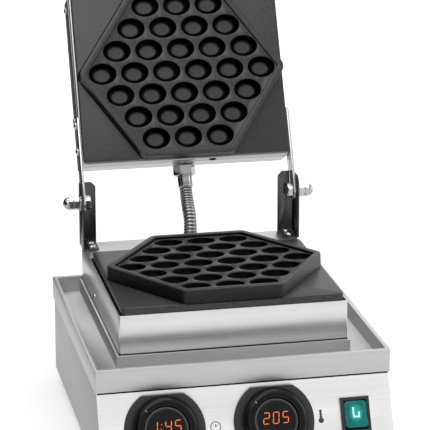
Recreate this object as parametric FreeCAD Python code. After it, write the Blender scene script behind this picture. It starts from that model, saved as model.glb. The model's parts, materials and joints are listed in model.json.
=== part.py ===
import FreeCAD, Part
import math
import os
from FreeCAD import Vector

# Driving dimensions, in millimetres
rim_width = 280.0
rim_depth = 278.0
case_height = 98.0
foot_height = 14.0
housing_height = 38.5
panel_slant = 25.0
open_angle = 116.0

# Clearances and wall thicknesses
rest_gap = 0.3
running_gap = 0.05
knob_gap = 0.3
parting_gap = 0.3
overrun = 1.0
same_place = 0.001
tray_sheet = 1.0
case_sheet = 1.2
lid_sheet = 1.2
fold_radius = 2.0

# Drip tray
rim_top_width = 4.0
skirt_height = 22.0
gutter_depth = 16.5
side_gutter = 30.0
front_gutter = 44.0
plinth_height = 13.5
plinth_margin = 2.5
plinth_lip = 12.0
tray_corner = 1.5

# Casing and front panel
panel_drop = 24.0
case_flange = 12.0
vent_length = 40.0
vent_height = 3.0
vent_pitch = 8.0
vent_rows = 4
vent_base = 24.5
vent_place_shares = (-0.43, 0.09)
floor_vent_pitch = 16.0
inlet_height = 26.0
inlet_inset = 50.7

# Lower plate housing
housing_flange = 16.0
deck_depth = 52.1
deck_start_gap = 2.4
deck_lip = 8.0
plate_stand = 6.8

# Egg plates
plate_side_gap = 3.3
plate_front_gap = 1.6
flange_thickness = 8.7
flange_corner = 4.0
boss_height = 13.5
hexagon_width_share = 0.508
hexagon_edge_share = 0.2226
hexagon_corner = 10.0
border_share = 0.04545
border_depth = 3.0
cup_pitch_share = 0.15464
cup_row_share = 0.13068
cup_length_share = 0.891
cup_width_share = 0.9826
cup_depth = 9.0
cup_waist_depth = 5.0
cup_waist_share = 0.88
cup_floor_share = 0.56
cup_sides = 10
cup_rows = (3, 4, 5, 6, 5, 4, 3)

# Heating of a plate
insulation_gap = 1.0
rod_radius = 4.0
rod_sides = 12
rod_spacing_share = 0.4311
rod_length_share = 0.898
clamp_thickness = 2.0
clamp_width_share = 0.703
clamp_depth_share = 0.795
pan_inset = 4.0
pan_sheet = 1.0
sensor_length = 44.0

# Posts and hinge
hinge_inset = 13.4
hinge_rise = 47.0
arm_thickness = 2.4
arm_width = 19.5
arm_overlap = 48.6
post_sheet = 1.5
post_depth = 27.0
post_face = 17.0
post_rise = 18.0
post_foot_width = 15.0
post_chamfer = 7.0
post_corner = 4.5
post_back_margin = 1.2
hinge_bolt_radius = 4.0
hinge_head_flats = 13.0
hinge_head_height = 5.3
hinge_washer_radius = 8.0
hinge_washer_thickness = 1.6
hinge_nut_height = 6.5
cap_nut_base = 4.5
cap_nut_dome = 5.2
cap_dome_radius = 6.0

# Lid
lid_frame_height = 10.0
lid_frame_inset = 0.3
lid_cover_height = 25.2
lid_side_gap = 1.3

# Handle
handle_span = 124.0
handle_reach = 46.0
handle_strap_width = 20.0
handle_strap = 3.0
handle_strap_corner = 6.0
handle_tab = 16.0
grip_radius = 13.0
grip_rod_radius = 3.0
grip_nut_flats = 10.0
grip_nut_height = 5.0

# Conduit between deck and lid
hose_radius = 6.6
hose_valley_radius = 5.8
hose_bore_radius = 4.2
hose_plain_end = 2.0
hose_ribs = 14
hose_sides = 16
hose_crest_share = 0.28
hose_bore_steps = 5
gland_flats = 20.0
gland_height = 13.0
gland_drop = 2.5
ferrule_radius = 7.6
ferrule_length = 12.0
deck_gland_height = 6.0
deck_gland_inset = 17.7
hose_low_run = 24.5
hose_top_run = 25.0
hose_arc_share = 0.45

# Controls on the front panel
timer_inset = 60.7
temperature_x = 25.0
switch_inset = 35.5
control_drop_share = 0.4532
bezel_radius = 38.0
bezel_flat = 32.3
bezel_thickness = 4.0
ring_outer = 29.6
ring_inner = 21.4
ring_height = 13.0
hub_radius = 21.1
hub_height = 9.0
window_thickness = 2.0
board_drop = 10.0
board_width = 62.0
board_height = 52.0
board_thickness = 1.6
switch_width = 27.5
switch_height = 33.0
switch_lip = 2.2
switch_frame_wall = 2.8
switch_body_depth = 24.0
rocker_rise = 4.5
rocker_tilt = 7.0
rocker_gap = 0.35
rocker_end_gap = 1.05
rocker_axle_radius = 1.5
rocker_depth = 9.0
rocker_belly_share = 0.9

# Feet and small fittings
foot_radius = 12.0
foot_sides = 12
foot_inset_x = 30.0
foot_inset_y = 26.0
inlet_nut_flats = 22.0
inlet_nut_height = 5.0
inlet_nose = 15.0
inlet_radius = 8.0
inlet_sides = 12
inlet_bore = 4.2
terminal_length = 48.0
terminal_width = 20.0
terminal_height = 22.0
terminal_ways = 5
terminal_well = 6.0
cutout_width = 18.0
cutout_height = 12.0

# Levels and places that follow from the dimensions above
turn = math.radians(open_angle)
lean = math.radians(panel_slant)
case_floor = foot_height
rim_top = case_floor + case_height
skirt_bottom = rim_top - skirt_height
gutter_floor = rim_top - gutter_depth
plinth_top = gutter_floor + plinth_height
housing_bottom = plinth_top
housing_top = housing_bottom + housing_height
flange_top = housing_top + plate_stand
plate_under = flange_top - flange_thickness
parting_level = flange_top + boss_height
upper_back = parting_level + parting_gap + boss_height + flange_thickness
cover_under = upper_back + lid_frame_height
cover_top = cover_under + lid_cover_height
case_half_width = rim_width / 2 - tray_sheet - rest_gap
case_half_depth = rim_depth / 2 - tray_sheet - rest_gap
wall_top = rim_top - tray_sheet - rest_gap
panel_top = rim_top - panel_drop
panel_foot = case_floor + tray_sheet
panel_reach = (panel_top - panel_foot) * math.tan(lean)
panel_back = case_sheet / math.cos(lean)
panel_front_y = -case_half_depth - panel_reach
control_drop = control_drop_share * (panel_top - panel_foot) / math.cos(lean)
timer_x = timer_inset - case_half_width
switch_x = case_half_width - switch_inset
inlet_x = case_half_width - inlet_inset
housing_width = rim_width - 2 * side_gutter
housing_front = front_gutter - rim_depth / 2
housing_rear = rim_depth / 2 - rim_top_width - rest_gap
plate_width = housing_width - 2 * plate_side_gap
plate_front = housing_front + plate_front_gap
plate_rear = housing_rear - deck_depth
plate_depth = plate_rear - plate_front
plate_middle_y = (plate_front + plate_rear) / 2
deck_start = plate_rear + deck_start_gap
hexagon_half_width = plate_width * hexagon_width_share
hexagon_half_edge = plate_width * hexagon_edge_share
border_width = plate_depth * border_share
cup_pitch = plate_width * cup_pitch_share
cup_row_pitch = plate_depth * cup_row_share
cup_length = cup_pitch * cup_length_share
cup_width = cup_row_pitch * cup_width_share
rod_spacing = plate_width * rod_spacing_share
rod_length = plate_depth * rod_length_share
hinge_y = housing_rear - hinge_inset
hinge_z = housing_top + hinge_rise
arm_inner = plate_width / 2 + lid_side_gap
arm_outer = arm_inner + arm_thickness
leg_inner = arm_outer + rest_gap
leg_outer = leg_inner + post_sheet
nut_start = leg_outer + hinge_washer_thickness
nut_end = nut_start + hinge_nut_height
lid_rear = plate_rear + lid_side_gap
lid_front = plate_front - lid_side_gap
arm_end = lid_rear - arm_overlap
gland_level = cover_under + lid_cover_height / 2 - gland_drop
deck_gland_y = housing_rear - deck_gland_inset
post_back = housing_rear - post_back_margin
post_front = post_back - post_depth
post_top = hinge_z + post_rise
grip_y = lid_front - handle_reach

# How far the finished object reaches forwards and backwards as it stands
front_reach = (
    -case_half_depth - (control_drop + ring_outer) * math.sin(lean) - ring_height * math.cos(lean)
)
rear_reach = (
    hinge_y
    + (grip_y - hinge_y) * math.cos(turn)
    + (gland_level - hinge_z) * math.sin(turn)
    + grip_radius
)
middle_shift = -(front_reach + rear_reach) / 2

X_AXIS = Vector(1, 0, 0)
Y_AXIS = Vector(0, 1, 0)
Z_AXIS = Vector(0, 0, 1)


def block(x0, x1, y0, y1, z0, z1):
    """A box between two corners."""
    return Part.makeBox(x1 - x0, y1 - y0, z1 - z0, Vector(x0, y0, z0))


def rod(radius, start, direction, length):
    return Part.makeCylinder(radius, length, start, direction)


def prism(radius, sides, start, direction, length):
    """A bar with as many flat sides as asked, inside a circle of the given radius."""
    step = 2 * math.pi / sides
    corners = [Vector(radius * math.cos(step * i), radius * math.sin(step * i), 0) for i in range(sides)]
    bar = slab(corners, Vector(0, 0, length))
    bar.Placement = FreeCAD.Placement(start, FreeCAD.Rotation(Z_AXIS, direction))
    return bar


def hexagon_bar(flats, start, direction, length):
    """A hexagonal bar of the given width across its flats."""
    return prism(flats / math.sqrt(3), 6, start, direction, length)


def slab(points, thickness):
    """A flat outline, closed and pushed along a vector."""
    return Part.Face(Part.makePolygon(points + points[:1])).extrude(thickness)


def drilled(shape, radius, places, direction, length):
    """Holes that start one overrun before each place."""
    for place in places:
        start = place - direction * overrun
        shape = shape.cut(rod(radius, start, direction, length + 2 * overrun))
    return shape


def upright_edges(shape):
    return [
        edge
        for edge in shape.Edges
        if len(edge.Vertexes) == 2
        and abs(edge.Vertexes[0].X - edge.Vertexes[1].X) < same_place
        and abs(edge.Vertexes[0].Y - edge.Vertexes[1].Y) < same_place
    ]


def rounded_block(x0, x1, y0, y1, z0, z1, radius):
    """A box whose four upright edges are rounded."""
    body = block(x0, x1, y0, y1, z0, z1)
    return body.makeFillet(radius, upright_edges(body))


def mirrored(shape):
    return shape.mirror(Vector(0, 0, 0), X_AXIS)


def both_sides(shape):
    """The shape and its mirror image across the middle plane, as separate solids."""
    return Part.makeCompound([shape, mirrored(shape)])


def group(shapes):
    return Part.makeCompound(shapes)


def open_lid(shape):
    """Turns a piece from the closed lid to the open one."""
    turned = shape.copy()
    turned.rotate(Vector(0, hinge_y, hinge_z), X_AXIS, -open_angle)
    return turned


def opened_point(y, z):
    """Where a point of the closed lid lies when the lid stands open."""
    a = y - hinge_y
    b = z - hinge_z
    return (
        hinge_y + a * math.cos(turn) + b * math.sin(turn),
        hinge_z - a * math.sin(turn) + b * math.cos(turn),
    )


# Drip tray: skirt, rolled rim, gutter floor and the raised plinth round the opening
def drip_tray():
    half_x = rim_width / 2
    half_y = rim_depth / 2
    wall_x = half_x - tray_sheet
    wall_y = half_y - tray_sheet
    inner_x = half_x - rim_top_width
    inner_y = half_y - rim_top_width
    basin_x = inner_x + tray_sheet
    basin_y = inner_y + tray_sheet
    basin_low = gutter_floor - tray_sheet
    outer = rounded_block(-half_x, half_x, -half_y, half_y, skirt_bottom, rim_top, tray_corner)
    hollow = block(-wall_x, wall_x, -wall_y, wall_y, skirt_bottom - overrun, rim_top - tray_sheet)
    basin = block(-basin_x, basin_x, -basin_y, basin_y, basin_low, rim_top)
    gutter = block(-inner_x, inner_x, -inner_y, inner_y, gutter_floor, rim_top + overrun)
    tray = outer.cut(hollow).fuse(basin).cut(gutter)
    plinth_x = housing_width / 2 + plinth_margin
    plinth_y = housing_front - plinth_margin
    way_x = plinth_x - plinth_lip
    under_x = plinth_x - tray_sheet
    plinth = block(-plinth_x, plinth_x, plinth_y, basin_y, basin_low, plinth_top)
    under = block(
        -under_x, under_x, plinth_y + tray_sheet, inner_y, basin_low - overrun, plinth_top - tray_sheet
    )
    way = block(
        -way_x, way_x, plinth_y + plinth_lip, inner_y - plinth_lip, basin_low - overrun, plinth_top + overrun
    )
    return tray.fuse(plinth).cut(under).cut(way).removeSplitter()


def side_outline(x):
    """The casing's side wall, whose front edge follows the slanted panel."""
    front = -case_half_depth + case_sheet
    return [
        Vector(x, case_half_depth, panel_foot),
        Vector(x, case_half_depth, wall_top),
        Vector(x, front, wall_top),
        Vector(x, front, panel_back_corner()),
        Vector(x, panel_front_y + panel_back, panel_foot),
    ]


def panel_back_corner():
    """The level where the back of the panel's slanted sheet meets the back of its upright one."""
    return panel_top - (panel_back - case_sheet) / math.tan(lean)


# Casing: side walls, back wall with its vents and cable inlet, and an inward flange below
def casing_shell():
    half = case_half_width
    rear = case_half_depth
    walls = slab(side_outline(-half), Vector(case_sheet, 0, 0))
    walls = walls.fuse(slab(side_outline(half - case_sheet), Vector(case_sheet, 0, 0)))
    back = block(-half, half, rear - case_sheet, rear, panel_foot, wall_top)
    flange_top_level = panel_foot + case_sheet
    front_y = panel_front_y + panel_back + case_flange
    left = block(-half, case_flange - half, front_y, rear, panel_foot, flange_top_level)
    behind = block(-half, half, rear - case_flange, rear, panel_foot, flange_top_level)
    shell = walls.fuse([back, left, mirrored(left), behind])
    for row in range(vent_rows):
        level = panel_foot + vent_base + row * vent_pitch
        for share in vent_place_shares:
            x = share * half - vent_length / 2
            y = rear - case_sheet - overrun
            slot = block(x, x + vent_length, y, rear + overrun, level, level + vent_height)
            shell = shell.cut(slot)
    place = Vector(inlet_x, rear - case_sheet, panel_foot + inlet_height)
    return drilled(shell, inlet_bore, [place], Y_AXIS, case_sheet).removeSplitter()


def bottom_plate():
    low = case_floor
    high = case_floor + tray_sheet
    plate = block(-case_half_width, case_half_width, panel_front_y, case_half_depth, low, high)
    for row in range(vent_rows):
        y = (row - vent_rows / 2) * floor_vent_pitch
        plate = plate.cut(
            block(-vent_length, vent_length, y, y + vent_height, low - overrun, high + overrun)
        )
    return plate


# Front panel: one sheet, upright behind the skirt and slanted below it
def panel_point(x, up, out):
    """A place on the slanted panel: across, up along it from its top edge, and out from its face."""
    return Vector(
        x,
        -case_half_depth + up * math.sin(lean) - out * math.cos(lean),
        panel_top + up * math.cos(lean) + out * math.sin(lean),
    )


def on_panel(shape, x, up):
    """Seats a piece, made flat with its outward side up, at a place on the slanted panel."""
    seated = shape.copy()
    seated.Placement = FreeCAD.Placement(
        panel_point(x, up, 0), FreeCAD.Rotation(X_AXIS, 90.0 - panel_slant)
    ).multiply(seated.Placement)
    return seated


def front_panel():
    front = -case_half_depth
    back = front + case_sheet
    x = -case_half_width
    section = [
        Vector(x, front, wall_top),
        Vector(x, front, panel_top),
        Vector(x, panel_front_y, panel_foot),
        Vector(x, panel_front_y + panel_back, panel_foot),
        Vector(x, back, panel_back_corner()),
        Vector(x, back, wall_top),
    ]
    panel = slab(section, Vector(2 * case_half_width, 0, 0))
    hem_x = case_half_width - case_sheet - rest_gap
    hem_y = panel_front_y + case_sheet
    hem_end = panel_front_y + case_flange
    panel = panel.fuse(block(-hem_x, hem_x, hem_y, hem_end, panel_foot, panel_foot + case_sheet))
    half_x = switch_width / 2 - switch_lip + rest_gap
    half_y = switch_height / 2 - switch_lip + rest_gap
    hole = block(-half_x, half_x, -half_y, half_y, -case_sheet - overrun, overrun)
    return panel.cut(on_panel(hole, switch_x, -control_drop)).removeSplitter()


# Housing of the lower plate: four walls, an inward flange and the rear deck
def plate_housing():
    half = housing_width / 2
    outer = rounded_block(-half, half, housing_front, housing_rear, housing_bottom, housing_top, fold_radius)
    inner = block(
        -half + case_sheet,
        half - case_sheet,
        housing_front + case_sheet,
        housing_rear - case_sheet,
        housing_bottom + case_sheet,
        housing_top - case_sheet,
    )
    below = block(
        -half + housing_flange,
        half - housing_flange,
        housing_front + housing_flange,
        housing_rear - housing_flange,
        housing_bottom - overrun,
        housing_bottom + case_sheet + overrun,
    )
    mouth = block(
        -half + case_sheet,
        half - case_sheet,
        housing_front + case_sheet,
        deck_start,
        housing_bottom + case_sheet,
        housing_top + overrun,
    )
    lip = block(
        -half + case_sheet,
        half - case_sheet,
        deck_start,
        deck_start + case_sheet,
        housing_top - deck_lip,
        housing_top,
    )
    body = outer.cut(inner).cut(below).cut(mouth).fuse(lip)
    place = Vector(0, deck_gland_y, housing_top - case_sheet)
    return drilled(body, hose_bore_radius, [place], Z_AXIS, case_sheet).removeSplitter()


def hexagon_outline(level, inset):
    """The hexagon's corners at a level, drawn in from every edge by an inset."""
    half_y = plate_depth / 2
    slope = (hexagon_half_width - hexagon_half_edge) / half_y
    side_x = hexagon_half_width - inset * math.hypot(1, slope)
    end_y = half_y - inset
    edge_x = side_x - slope * end_y
    return [
        Vector(-side_x, 0, level),
        Vector(-edge_x, -end_y, level),
        Vector(edge_x, -end_y, level),
        Vector(side_x, 0, level),
        Vector(edge_x, end_y, level),
        Vector(-edge_x, end_y, level),
    ]


def oval(share, level):
    """The corners of a cup's outline, drawn in to a share of its rim and set at a level."""
    corners = []
    for i in range(cup_sides):
        angle = 2 * math.pi * (i + 0.5) / cup_sides
        x = share * cup_length / 2 * math.cos(angle)
        y = share * cup_width / 2 * math.sin(angle)
        corners.append(Vector(x, y, level))
    return corners


def cup():
    """An oval cup with its rim at level zero: steep sides to a waist, then in to a flat floor."""
    rings = [oval(1, 0), oval(cup_waist_share, -cup_waist_depth), oval(cup_floor_share, -cup_depth)]
    faces = [Part.Face(Part.makePolygon(ring + ring[:1])) for ring in (rings[0], rings[-1])]
    for upper, lower in zip(rings, rings[1:]):
        for i in range(cup_sides):
            j = (i + 1) % cup_sides
            faces.append(Part.Face(Part.makePolygon([upper[i], upper[j], lower[j], lower[i], upper[i]])))
    return Part.makeSolid(Part.makeShell(faces))


def cup_centres():
    middle_row = (len(cup_rows) - 1) / 2
    for row, count in enumerate(cup_rows):
        for i in range(count):
            yield (i - (count - 1) / 2) * cup_pitch, (row - middle_row) * cup_row_pitch


# Egg plate, made flat with its cups upwards: flange, hexagon boss, border and thirty oval cups
def egg_plate():
    half_x = plate_width / 2
    half_y = plate_depth / 2
    flange = rounded_block(-half_x, half_x, -half_y, half_y, 0, flange_thickness, flange_corner)
    face = flange_thickness + boss_height
    start = flange_thickness / 2
    boss = slab(hexagon_outline(start, 0), Vector(0, 0, face - start))
    boss = boss.makeFillet(hexagon_corner, upright_edges(boss))
    bed = slab(hexagon_outline(face - border_depth, border_width), Vector(0, 0, border_depth + overrun))
    plate = flange.fuse(boss).cut(bed)
    pattern = cup()
    cups = []
    for x, y in cup_centres():
        one = pattern.copy()
        one.translate(Vector(x, y, face - border_depth))
        cups.append(one)
    return plate.cut(cups)


# Heating of one plate, made for the lower one with the plate's underside at level zero
def rod_level():
    return -rest_gap - rod_radius


def clamp_top():
    return rod_level() - rod_radius - rest_gap


def pan_rear():
    return plate_depth / 2 - pan_inset


def rod_starts(y):
    return [Vector(side * rod_spacing / 2, y, rod_level()) for side in (-1, 1)]


def heating_rods():
    """Two straight heating rods, whose connection ends lie in the pan's notches."""
    start = pan_rear() - rod_length
    return group([prism(rod_radius, rod_sides, place, Y_AXIS, rod_length) for place in rod_starts(start)])


def rod_clamp():
    half_x = plate_width * clamp_width_share / 2
    half_y = plate_depth * clamp_depth_share / 2
    return block(-half_x, half_x, -half_y, half_y, clamp_top() - clamp_thickness, clamp_top())


def plate_sensor():
    return prism(rod_radius, rod_sides, Vector(0, -sensor_length / 2, rod_level()), Y_AXIS, sensor_length)


def heat_pan(depth):
    """The steel pan that carries the plate by its upper edge, with open notches for the rods."""
    half_x = plate_width / 2 - pan_inset
    half_y = pan_rear()
    inner_x = half_x - pan_sheet
    inner_y = half_y - pan_sheet
    pan = block(-half_x, half_x, -half_y, half_y, -depth, 0)
    pan = pan.cut(block(-inner_x, inner_x, -inner_y, inner_y, -depth + pan_sheet, overrun))
    notch = rod_radius + rest_gap
    for place in rod_starts(inner_y - overrun):
        low = place.z - notch
        pan = pan.cut(block(place.x - notch, place.x + notch, place.y, half_y + overrun, low, overrun))
    return pan


def insulation(depth):
    """A mineral wool block between the pan's floor and the clamp."""
    half_x = plate_width / 2 - pan_inset - pan_sheet - insulation_gap
    half_y = pan_rear() - pan_sheet - insulation_gap
    return block(-half_x, half_x, -half_y, half_y, -depth + pan_sheet, clamp_top() - clamp_thickness)


def to_lower(shape):
    seated = shape.copy()
    seated.translate(Vector(0, plate_middle_y, plate_under))
    return seated


def to_upper(shape):
    """Turns a piece over and seats it in the lid, then opens the lid."""
    seated = shape.mirror(Vector(0, 0, 0), Z_AXIS)
    seated.translate(Vector(0, plate_middle_y, upper_back))
    return open_lid(seated)


# Posts, hinge bolts and nuts
def stop_level():
    """The floor of the back leg's slot, just under the back edge of the opened arm."""
    edge_y, edge_z = opened_point(hinge_y, hinge_z + arm_width / 2)
    reach = post_back - post_sheet - edge_y
    return edge_z + reach * math.tan(math.pi - turn) - rest_gap


def post():
    """The right post: a side leg, a back leg the lid arm rests on, and a foot on the deck."""
    foot = housing_top
    leg = slab(
        [
            Vector(leg_inner, post_front, foot),
            Vector(leg_inner, post_back, foot),
            Vector(leg_inner, post_back, post_top),
            Vector(leg_inner, post_front + post_chamfer, post_top),
            Vector(leg_inner, post_front, post_top - post_chamfer),
        ],
        Vector(post_sheet, 0, 0),
    )
    far = leg_outer - post_face
    face = post_back - post_sheet
    back = slab(
        [
            Vector(leg_outer, face, foot),
            Vector(leg_outer, face, post_top),
            Vector(far + post_corner, face, post_top),
            Vector(far, face, post_top - post_corner),
            Vector(far, face, foot),
        ],
        Vector(0, post_sheet, 0),
    )
    slot_x = arm_inner - rest_gap
    slot = block(slot_x, leg_inner, face - overrun, post_back + overrun, stop_level(), post_top + overrun)
    inner = leg_inner - post_foot_width
    sole = slab(
        [
            Vector(leg_outer, post_front, foot),
            Vector(leg_outer, post_back, foot),
            Vector(inner, post_back, foot),
            Vector(inner, post_front + post_corner, foot),
            Vector(inner + post_corner, post_front, foot),
        ],
        Vector(0, 0, post_sheet),
    )
    body = leg.fuse([back.cut(slot), sole]).removeSplitter()
    place = Vector(leg_inner, hinge_y, hinge_z)
    return drilled(body, hinge_bolt_radius + running_gap, [place], X_AXIS, post_sheet)


def hinge_bolt():
    start = Vector(arm_inner - rest_gap, hinge_y, hinge_z)
    head = hexagon_bar(hinge_head_flats, start, -X_AXIS, hinge_head_height)
    return head.fuse(rod(hinge_bolt_radius, start, X_AXIS, nut_end - arm_inner))


def hinge_washer():
    seat = Vector(leg_outer, hinge_y, hinge_z)
    ring = rod(hinge_washer_radius, seat, X_AXIS, hinge_washer_thickness)
    return drilled(ring, hinge_bolt_radius + running_gap, [seat], X_AXIS, hinge_washer_thickness)


def hinge_nut():
    seat = Vector(nut_start, hinge_y, hinge_z)
    nut = hexagon_bar(hinge_head_flats, seat, X_AXIS, hinge_nut_height)
    return drilled(nut, hinge_bolt_radius + running_gap, [seat], X_AXIS, hinge_nut_height)


def cap_nut():
    """The closed nut outside the plain one."""
    seat = Vector(nut_end, hinge_y, hinge_z)
    base = hexagon_bar(hinge_head_flats, seat, X_AXIS, cap_nut_base)
    return base.fuse(rod(cap_dome_radius, seat + X_AXIS * cap_nut_base, X_AXIS, cap_nut_dome))


# Lid: frame strip, cover, arms and their screws, all made closed and then opened
def lid_shell(inset, low, high, roof):
    """Four walls round the plate's back, with or without a roof."""
    half = arm_inner - inset
    front = lid_front + inset
    rear = lid_rear - inset
    body = rounded_block(-half, half, front, rear, low, high, fold_radius)
    top = high - lid_sheet if roof else high + overrun
    inner = half - lid_sheet
    return body.cut(block(-inner, inner, front + lid_sheet, rear - lid_sheet, low - overrun, top))


def lid_frame():
    frame = lid_shell(lid_frame_inset, upper_back, cover_under, False)
    wall = lid_frame_inset + lid_sheet
    half = arm_inner - wall
    shelf = block(-half, half, lid_front + wall, lid_rear - wall, upper_back, upper_back + lid_sheet)
    way_x = plate_width / 2 - pan_inset + rest_gap
    way_y = plate_depth / 2 - pan_inset + rest_gap
    low = upper_back - overrun
    high = upper_back + lid_sheet + overrun
    way = block(-way_x, way_x, plate_middle_y - way_y, plate_middle_y + way_y, low, high)
    return open_lid(frame.fuse(shelf.cut(way)).removeSplitter())


def lid_cover():
    cover = lid_shell(0, cover_under, cover_top, True)
    place = Vector(0, lid_rear - lid_sheet, gland_level)
    return open_lid(drilled(cover, hose_bore_radius, [place], Y_AXIS, lid_sheet))


def lid_arm():
    """The right arm: a flat bar with a round eye on the hinge bolt."""
    radius = arm_width / 2
    bar = block(arm_inner, arm_outer, arm_end, hinge_y, hinge_z - radius, hinge_z + radius)
    eye = rod(radius, Vector(arm_inner, hinge_y, hinge_z), X_AXIS, arm_thickness)
    arm = bar.fuse(eye).removeSplitter()
    place = Vector(arm_inner, hinge_y, hinge_z)
    return drilled(arm, hinge_bolt_radius + running_gap, [place], X_AXIS, arm_thickness)


# Handle: two straps on the lid's front wall and a round grip between them
def handle_end():
    """How far the straps' outer faces lie from the middle."""
    return (handle_span + handle_tab) / 2


def handle_strap_piece():
    """The right strap: an arm with clipped corners out to the grip, and a tab on the lid's front."""
    low = gland_level - handle_strap_width / 2
    high = gland_level + handle_strap_width / 2
    tip = grip_y - handle_strap_width / 2
    corner = handle_strap_corner
    inner = handle_end() - handle_strap
    arm = slab(
        [
            Vector(inner, lid_front, low),
            Vector(inner, lid_front, high),
            Vector(inner, tip + corner, high),
            Vector(inner, tip, high - corner),
            Vector(inner, tip, low + corner),
            Vector(inner, tip + corner, low),
        ],
        Vector(handle_strap, 0, 0),
    )
    tab = block(handle_end() - handle_tab, handle_end(), lid_front - handle_strap, lid_front, low, high)
    place = Vector(inner, grip_y, gland_level)
    strap = arm.fuse(tab).removeSplitter()
    return drilled(strap, grip_rod_radius + running_gap, [place], X_AXIS, handle_strap)


def handle_grip():
    """A round grip with a bore for its rod."""
    half = handle_end() - handle_strap
    start = Vector(-half, grip_y, gland_level)
    grip = rod(grip_radius, start, X_AXIS, 2 * half)
    return drilled(grip, grip_rod_radius + running_gap, [start], X_AXIS, 2 * half)


def handle_rod():
    """The rod through the grip and both straps, with a nut on each end."""
    half = handle_end()
    nut = hexagon_bar(grip_nut_flats, Vector(half, grip_y, gland_level), X_AXIS, grip_nut_height)
    shaft = rod(grip_rod_radius, Vector(-half, grip_y, gland_level), X_AXIS, 2 * half)
    return shaft.fuse([nut, mirrored(nut)])


# Conduit: gland and ferrule on the lid, ribbed hose, gland in the deck
def lid_gland():
    """A hexagonal gland nut and a smooth ferrule over the hose's end."""
    seat = Vector(0, lid_rear, gland_level)
    nut = hexagon_bar(gland_flats, seat, Y_AXIS, gland_height)
    ferrule = rod(ferrule_radius, seat + Y_AXIS * gland_height, Y_AXIS, ferrule_length)
    bore = hose_valley_radius + running_gap
    return open_lid(drilled(nut.fuse(ferrule), bore, [seat], Y_AXIS, gland_height + ferrule_length))


def deck_gland():
    seat = Vector(0, deck_gland_y, housing_top)
    nut = hexagon_bar(gland_flats, seat, Z_AXIS, deck_gland_height)
    return drilled(nut, hose_valley_radius + running_gap, [seat], Z_AXIS, deck_gland_height)


def hose_route():
    """The route's four points in the middle plane, from the deck up to the lid's gland."""
    top_y, top_z = opened_point(lid_rear + gland_height, gland_level)
    upper = (top_y + math.cos(turn) * hose_top_run, top_z - math.sin(turn) * hose_top_run)
    return [
        (deck_gland_y, housing_top),
        (deck_gland_y, housing_top + hose_low_run),
        upper,
        (top_y, top_z),
    ]


def hose_stations():
    """Straight runs and tangent arcs, as a list of (length, start, direction, centre, radius, turn)."""
    points = hose_route()
    headings = []
    lengths = []
    for (y0, z0), (y1, z1) in zip(points, points[1:]):
        lengths.append(math.hypot(y1 - y0, z1 - z0))
        headings.append(math.atan2(y1 - y0, z1 - z0))
    pieces = []
    start_trim = 0
    place = points[0]
    for i, heading in enumerate(headings):
        end_trim = 0
        if i + 1 < len(headings):
            bend = headings[i + 1] - heading
            end_trim = hose_arc_share * min(lengths[i], lengths[i + 1])
            radius = end_trim / math.tan(abs(bend) / 2)
        run = lengths[i] - start_trim - end_trim
        pieces.append(("run", run, place, heading, 0, 0))
        place = (place[0] + run * math.sin(heading), place[1] + run * math.cos(heading))
        if i + 1 < len(headings):
            print("hose arc radius %.1f" % radius)
            pieces.append(("arc", radius * abs(bend), place, heading, radius, bend))
            chord = 2 * radius * math.sin(abs(bend) / 2)
            middle = heading + bend / 2
            place = (place[0] + chord * math.sin(middle), place[1] + chord * math.cos(middle))
        start_trim = end_trim
    return pieces


def on_route(pieces, distance):
    """The place and heading at a distance along the route."""
    for kind, length, place, heading, radius, bend in pieces:
        if distance <= length + same_place:
            if kind == "run":
                y = place[0] + distance * math.sin(heading)
                return y, place[1] + distance * math.cos(heading), heading
            part = bend * distance / length
            chord = 2 * radius * math.sin(abs(part) / 2)
            middle = heading + part / 2
            return place[0] + chord * math.sin(middle), place[1] + chord * math.cos(middle), heading + part
        distance -= length
    kind, length, place, heading, radius, bend = pieces[-1]
    return place[0] + length * math.sin(heading), place[1] + length * math.cos(heading), heading


def hose_ring(pieces, distance, radius):
    """A many-sided ring square to the route, with its first corner on the steady X axis."""
    y, z, heading = on_route(pieces, distance)
    across = Vector(0, math.cos(heading), -math.sin(heading))
    step = 2 * math.pi / hose_sides
    corners = [
        Vector(0, y, z) + X_AXIS * (radius * math.cos(step * i)) + across * (radius * math.sin(step * i))
        for i in range(hose_sides)
    ]
    return Part.makePolygon(corners + corners[:1])


def conduit():
    """The ribbed hose: plain ends in the glands, and ribs from valley to crest and back between them."""
    pieces = hose_stations()
    total = sum(piece[1] for piece in pieces)
    first = deck_gland_height + hose_plain_end
    last = total - ferrule_length - hose_plain_end
    pitch = (last - first) / hose_ribs
    rings = [hose_ring(pieces, rest_gap, hose_valley_radius)]
    for i in range(hose_ribs):
        low = first + i * pitch
        rings.append(hose_ring(pieces, low, hose_valley_radius))
        rings.append(hose_ring(pieces, low + pitch * hose_crest_share, hose_radius))
        rings.append(hose_ring(pieces, low + pitch * (1 - hose_crest_share), hose_radius))
    rings.append(hose_ring(pieces, last, hose_valley_radius))
    rings.append(hose_ring(pieces, total - rest_gap, hose_valley_radius))
    outside = Part.makeLoft(rings, True, True)
    step = (total - 2 * rest_gap) / hose_bore_steps
    bore = [
        hose_ring(pieces, rest_gap + step * i, hose_bore_radius) for i in range(hose_bore_steps + 1)
    ]
    return outside.cut(Part.makeLoft(bore, True, True))


# Controls, made flat with the panel's face at level zero and the outward side up
def bezel():
    """A thick round collar with a flattened top, and the hub that carries the display."""
    collar = rod(bezel_radius, Vector(0, 0, 0), Z_AXIS, bezel_thickness)
    reach = bezel_radius + overrun
    collar = collar.cut(block(-reach, reach, bezel_flat, reach, -overrun, bezel_thickness + overrun))
    return collar.fuse(rod(hub_radius, Vector(0, 0, bezel_thickness), Z_AXIS, hub_height - bezel_thickness))


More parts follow.
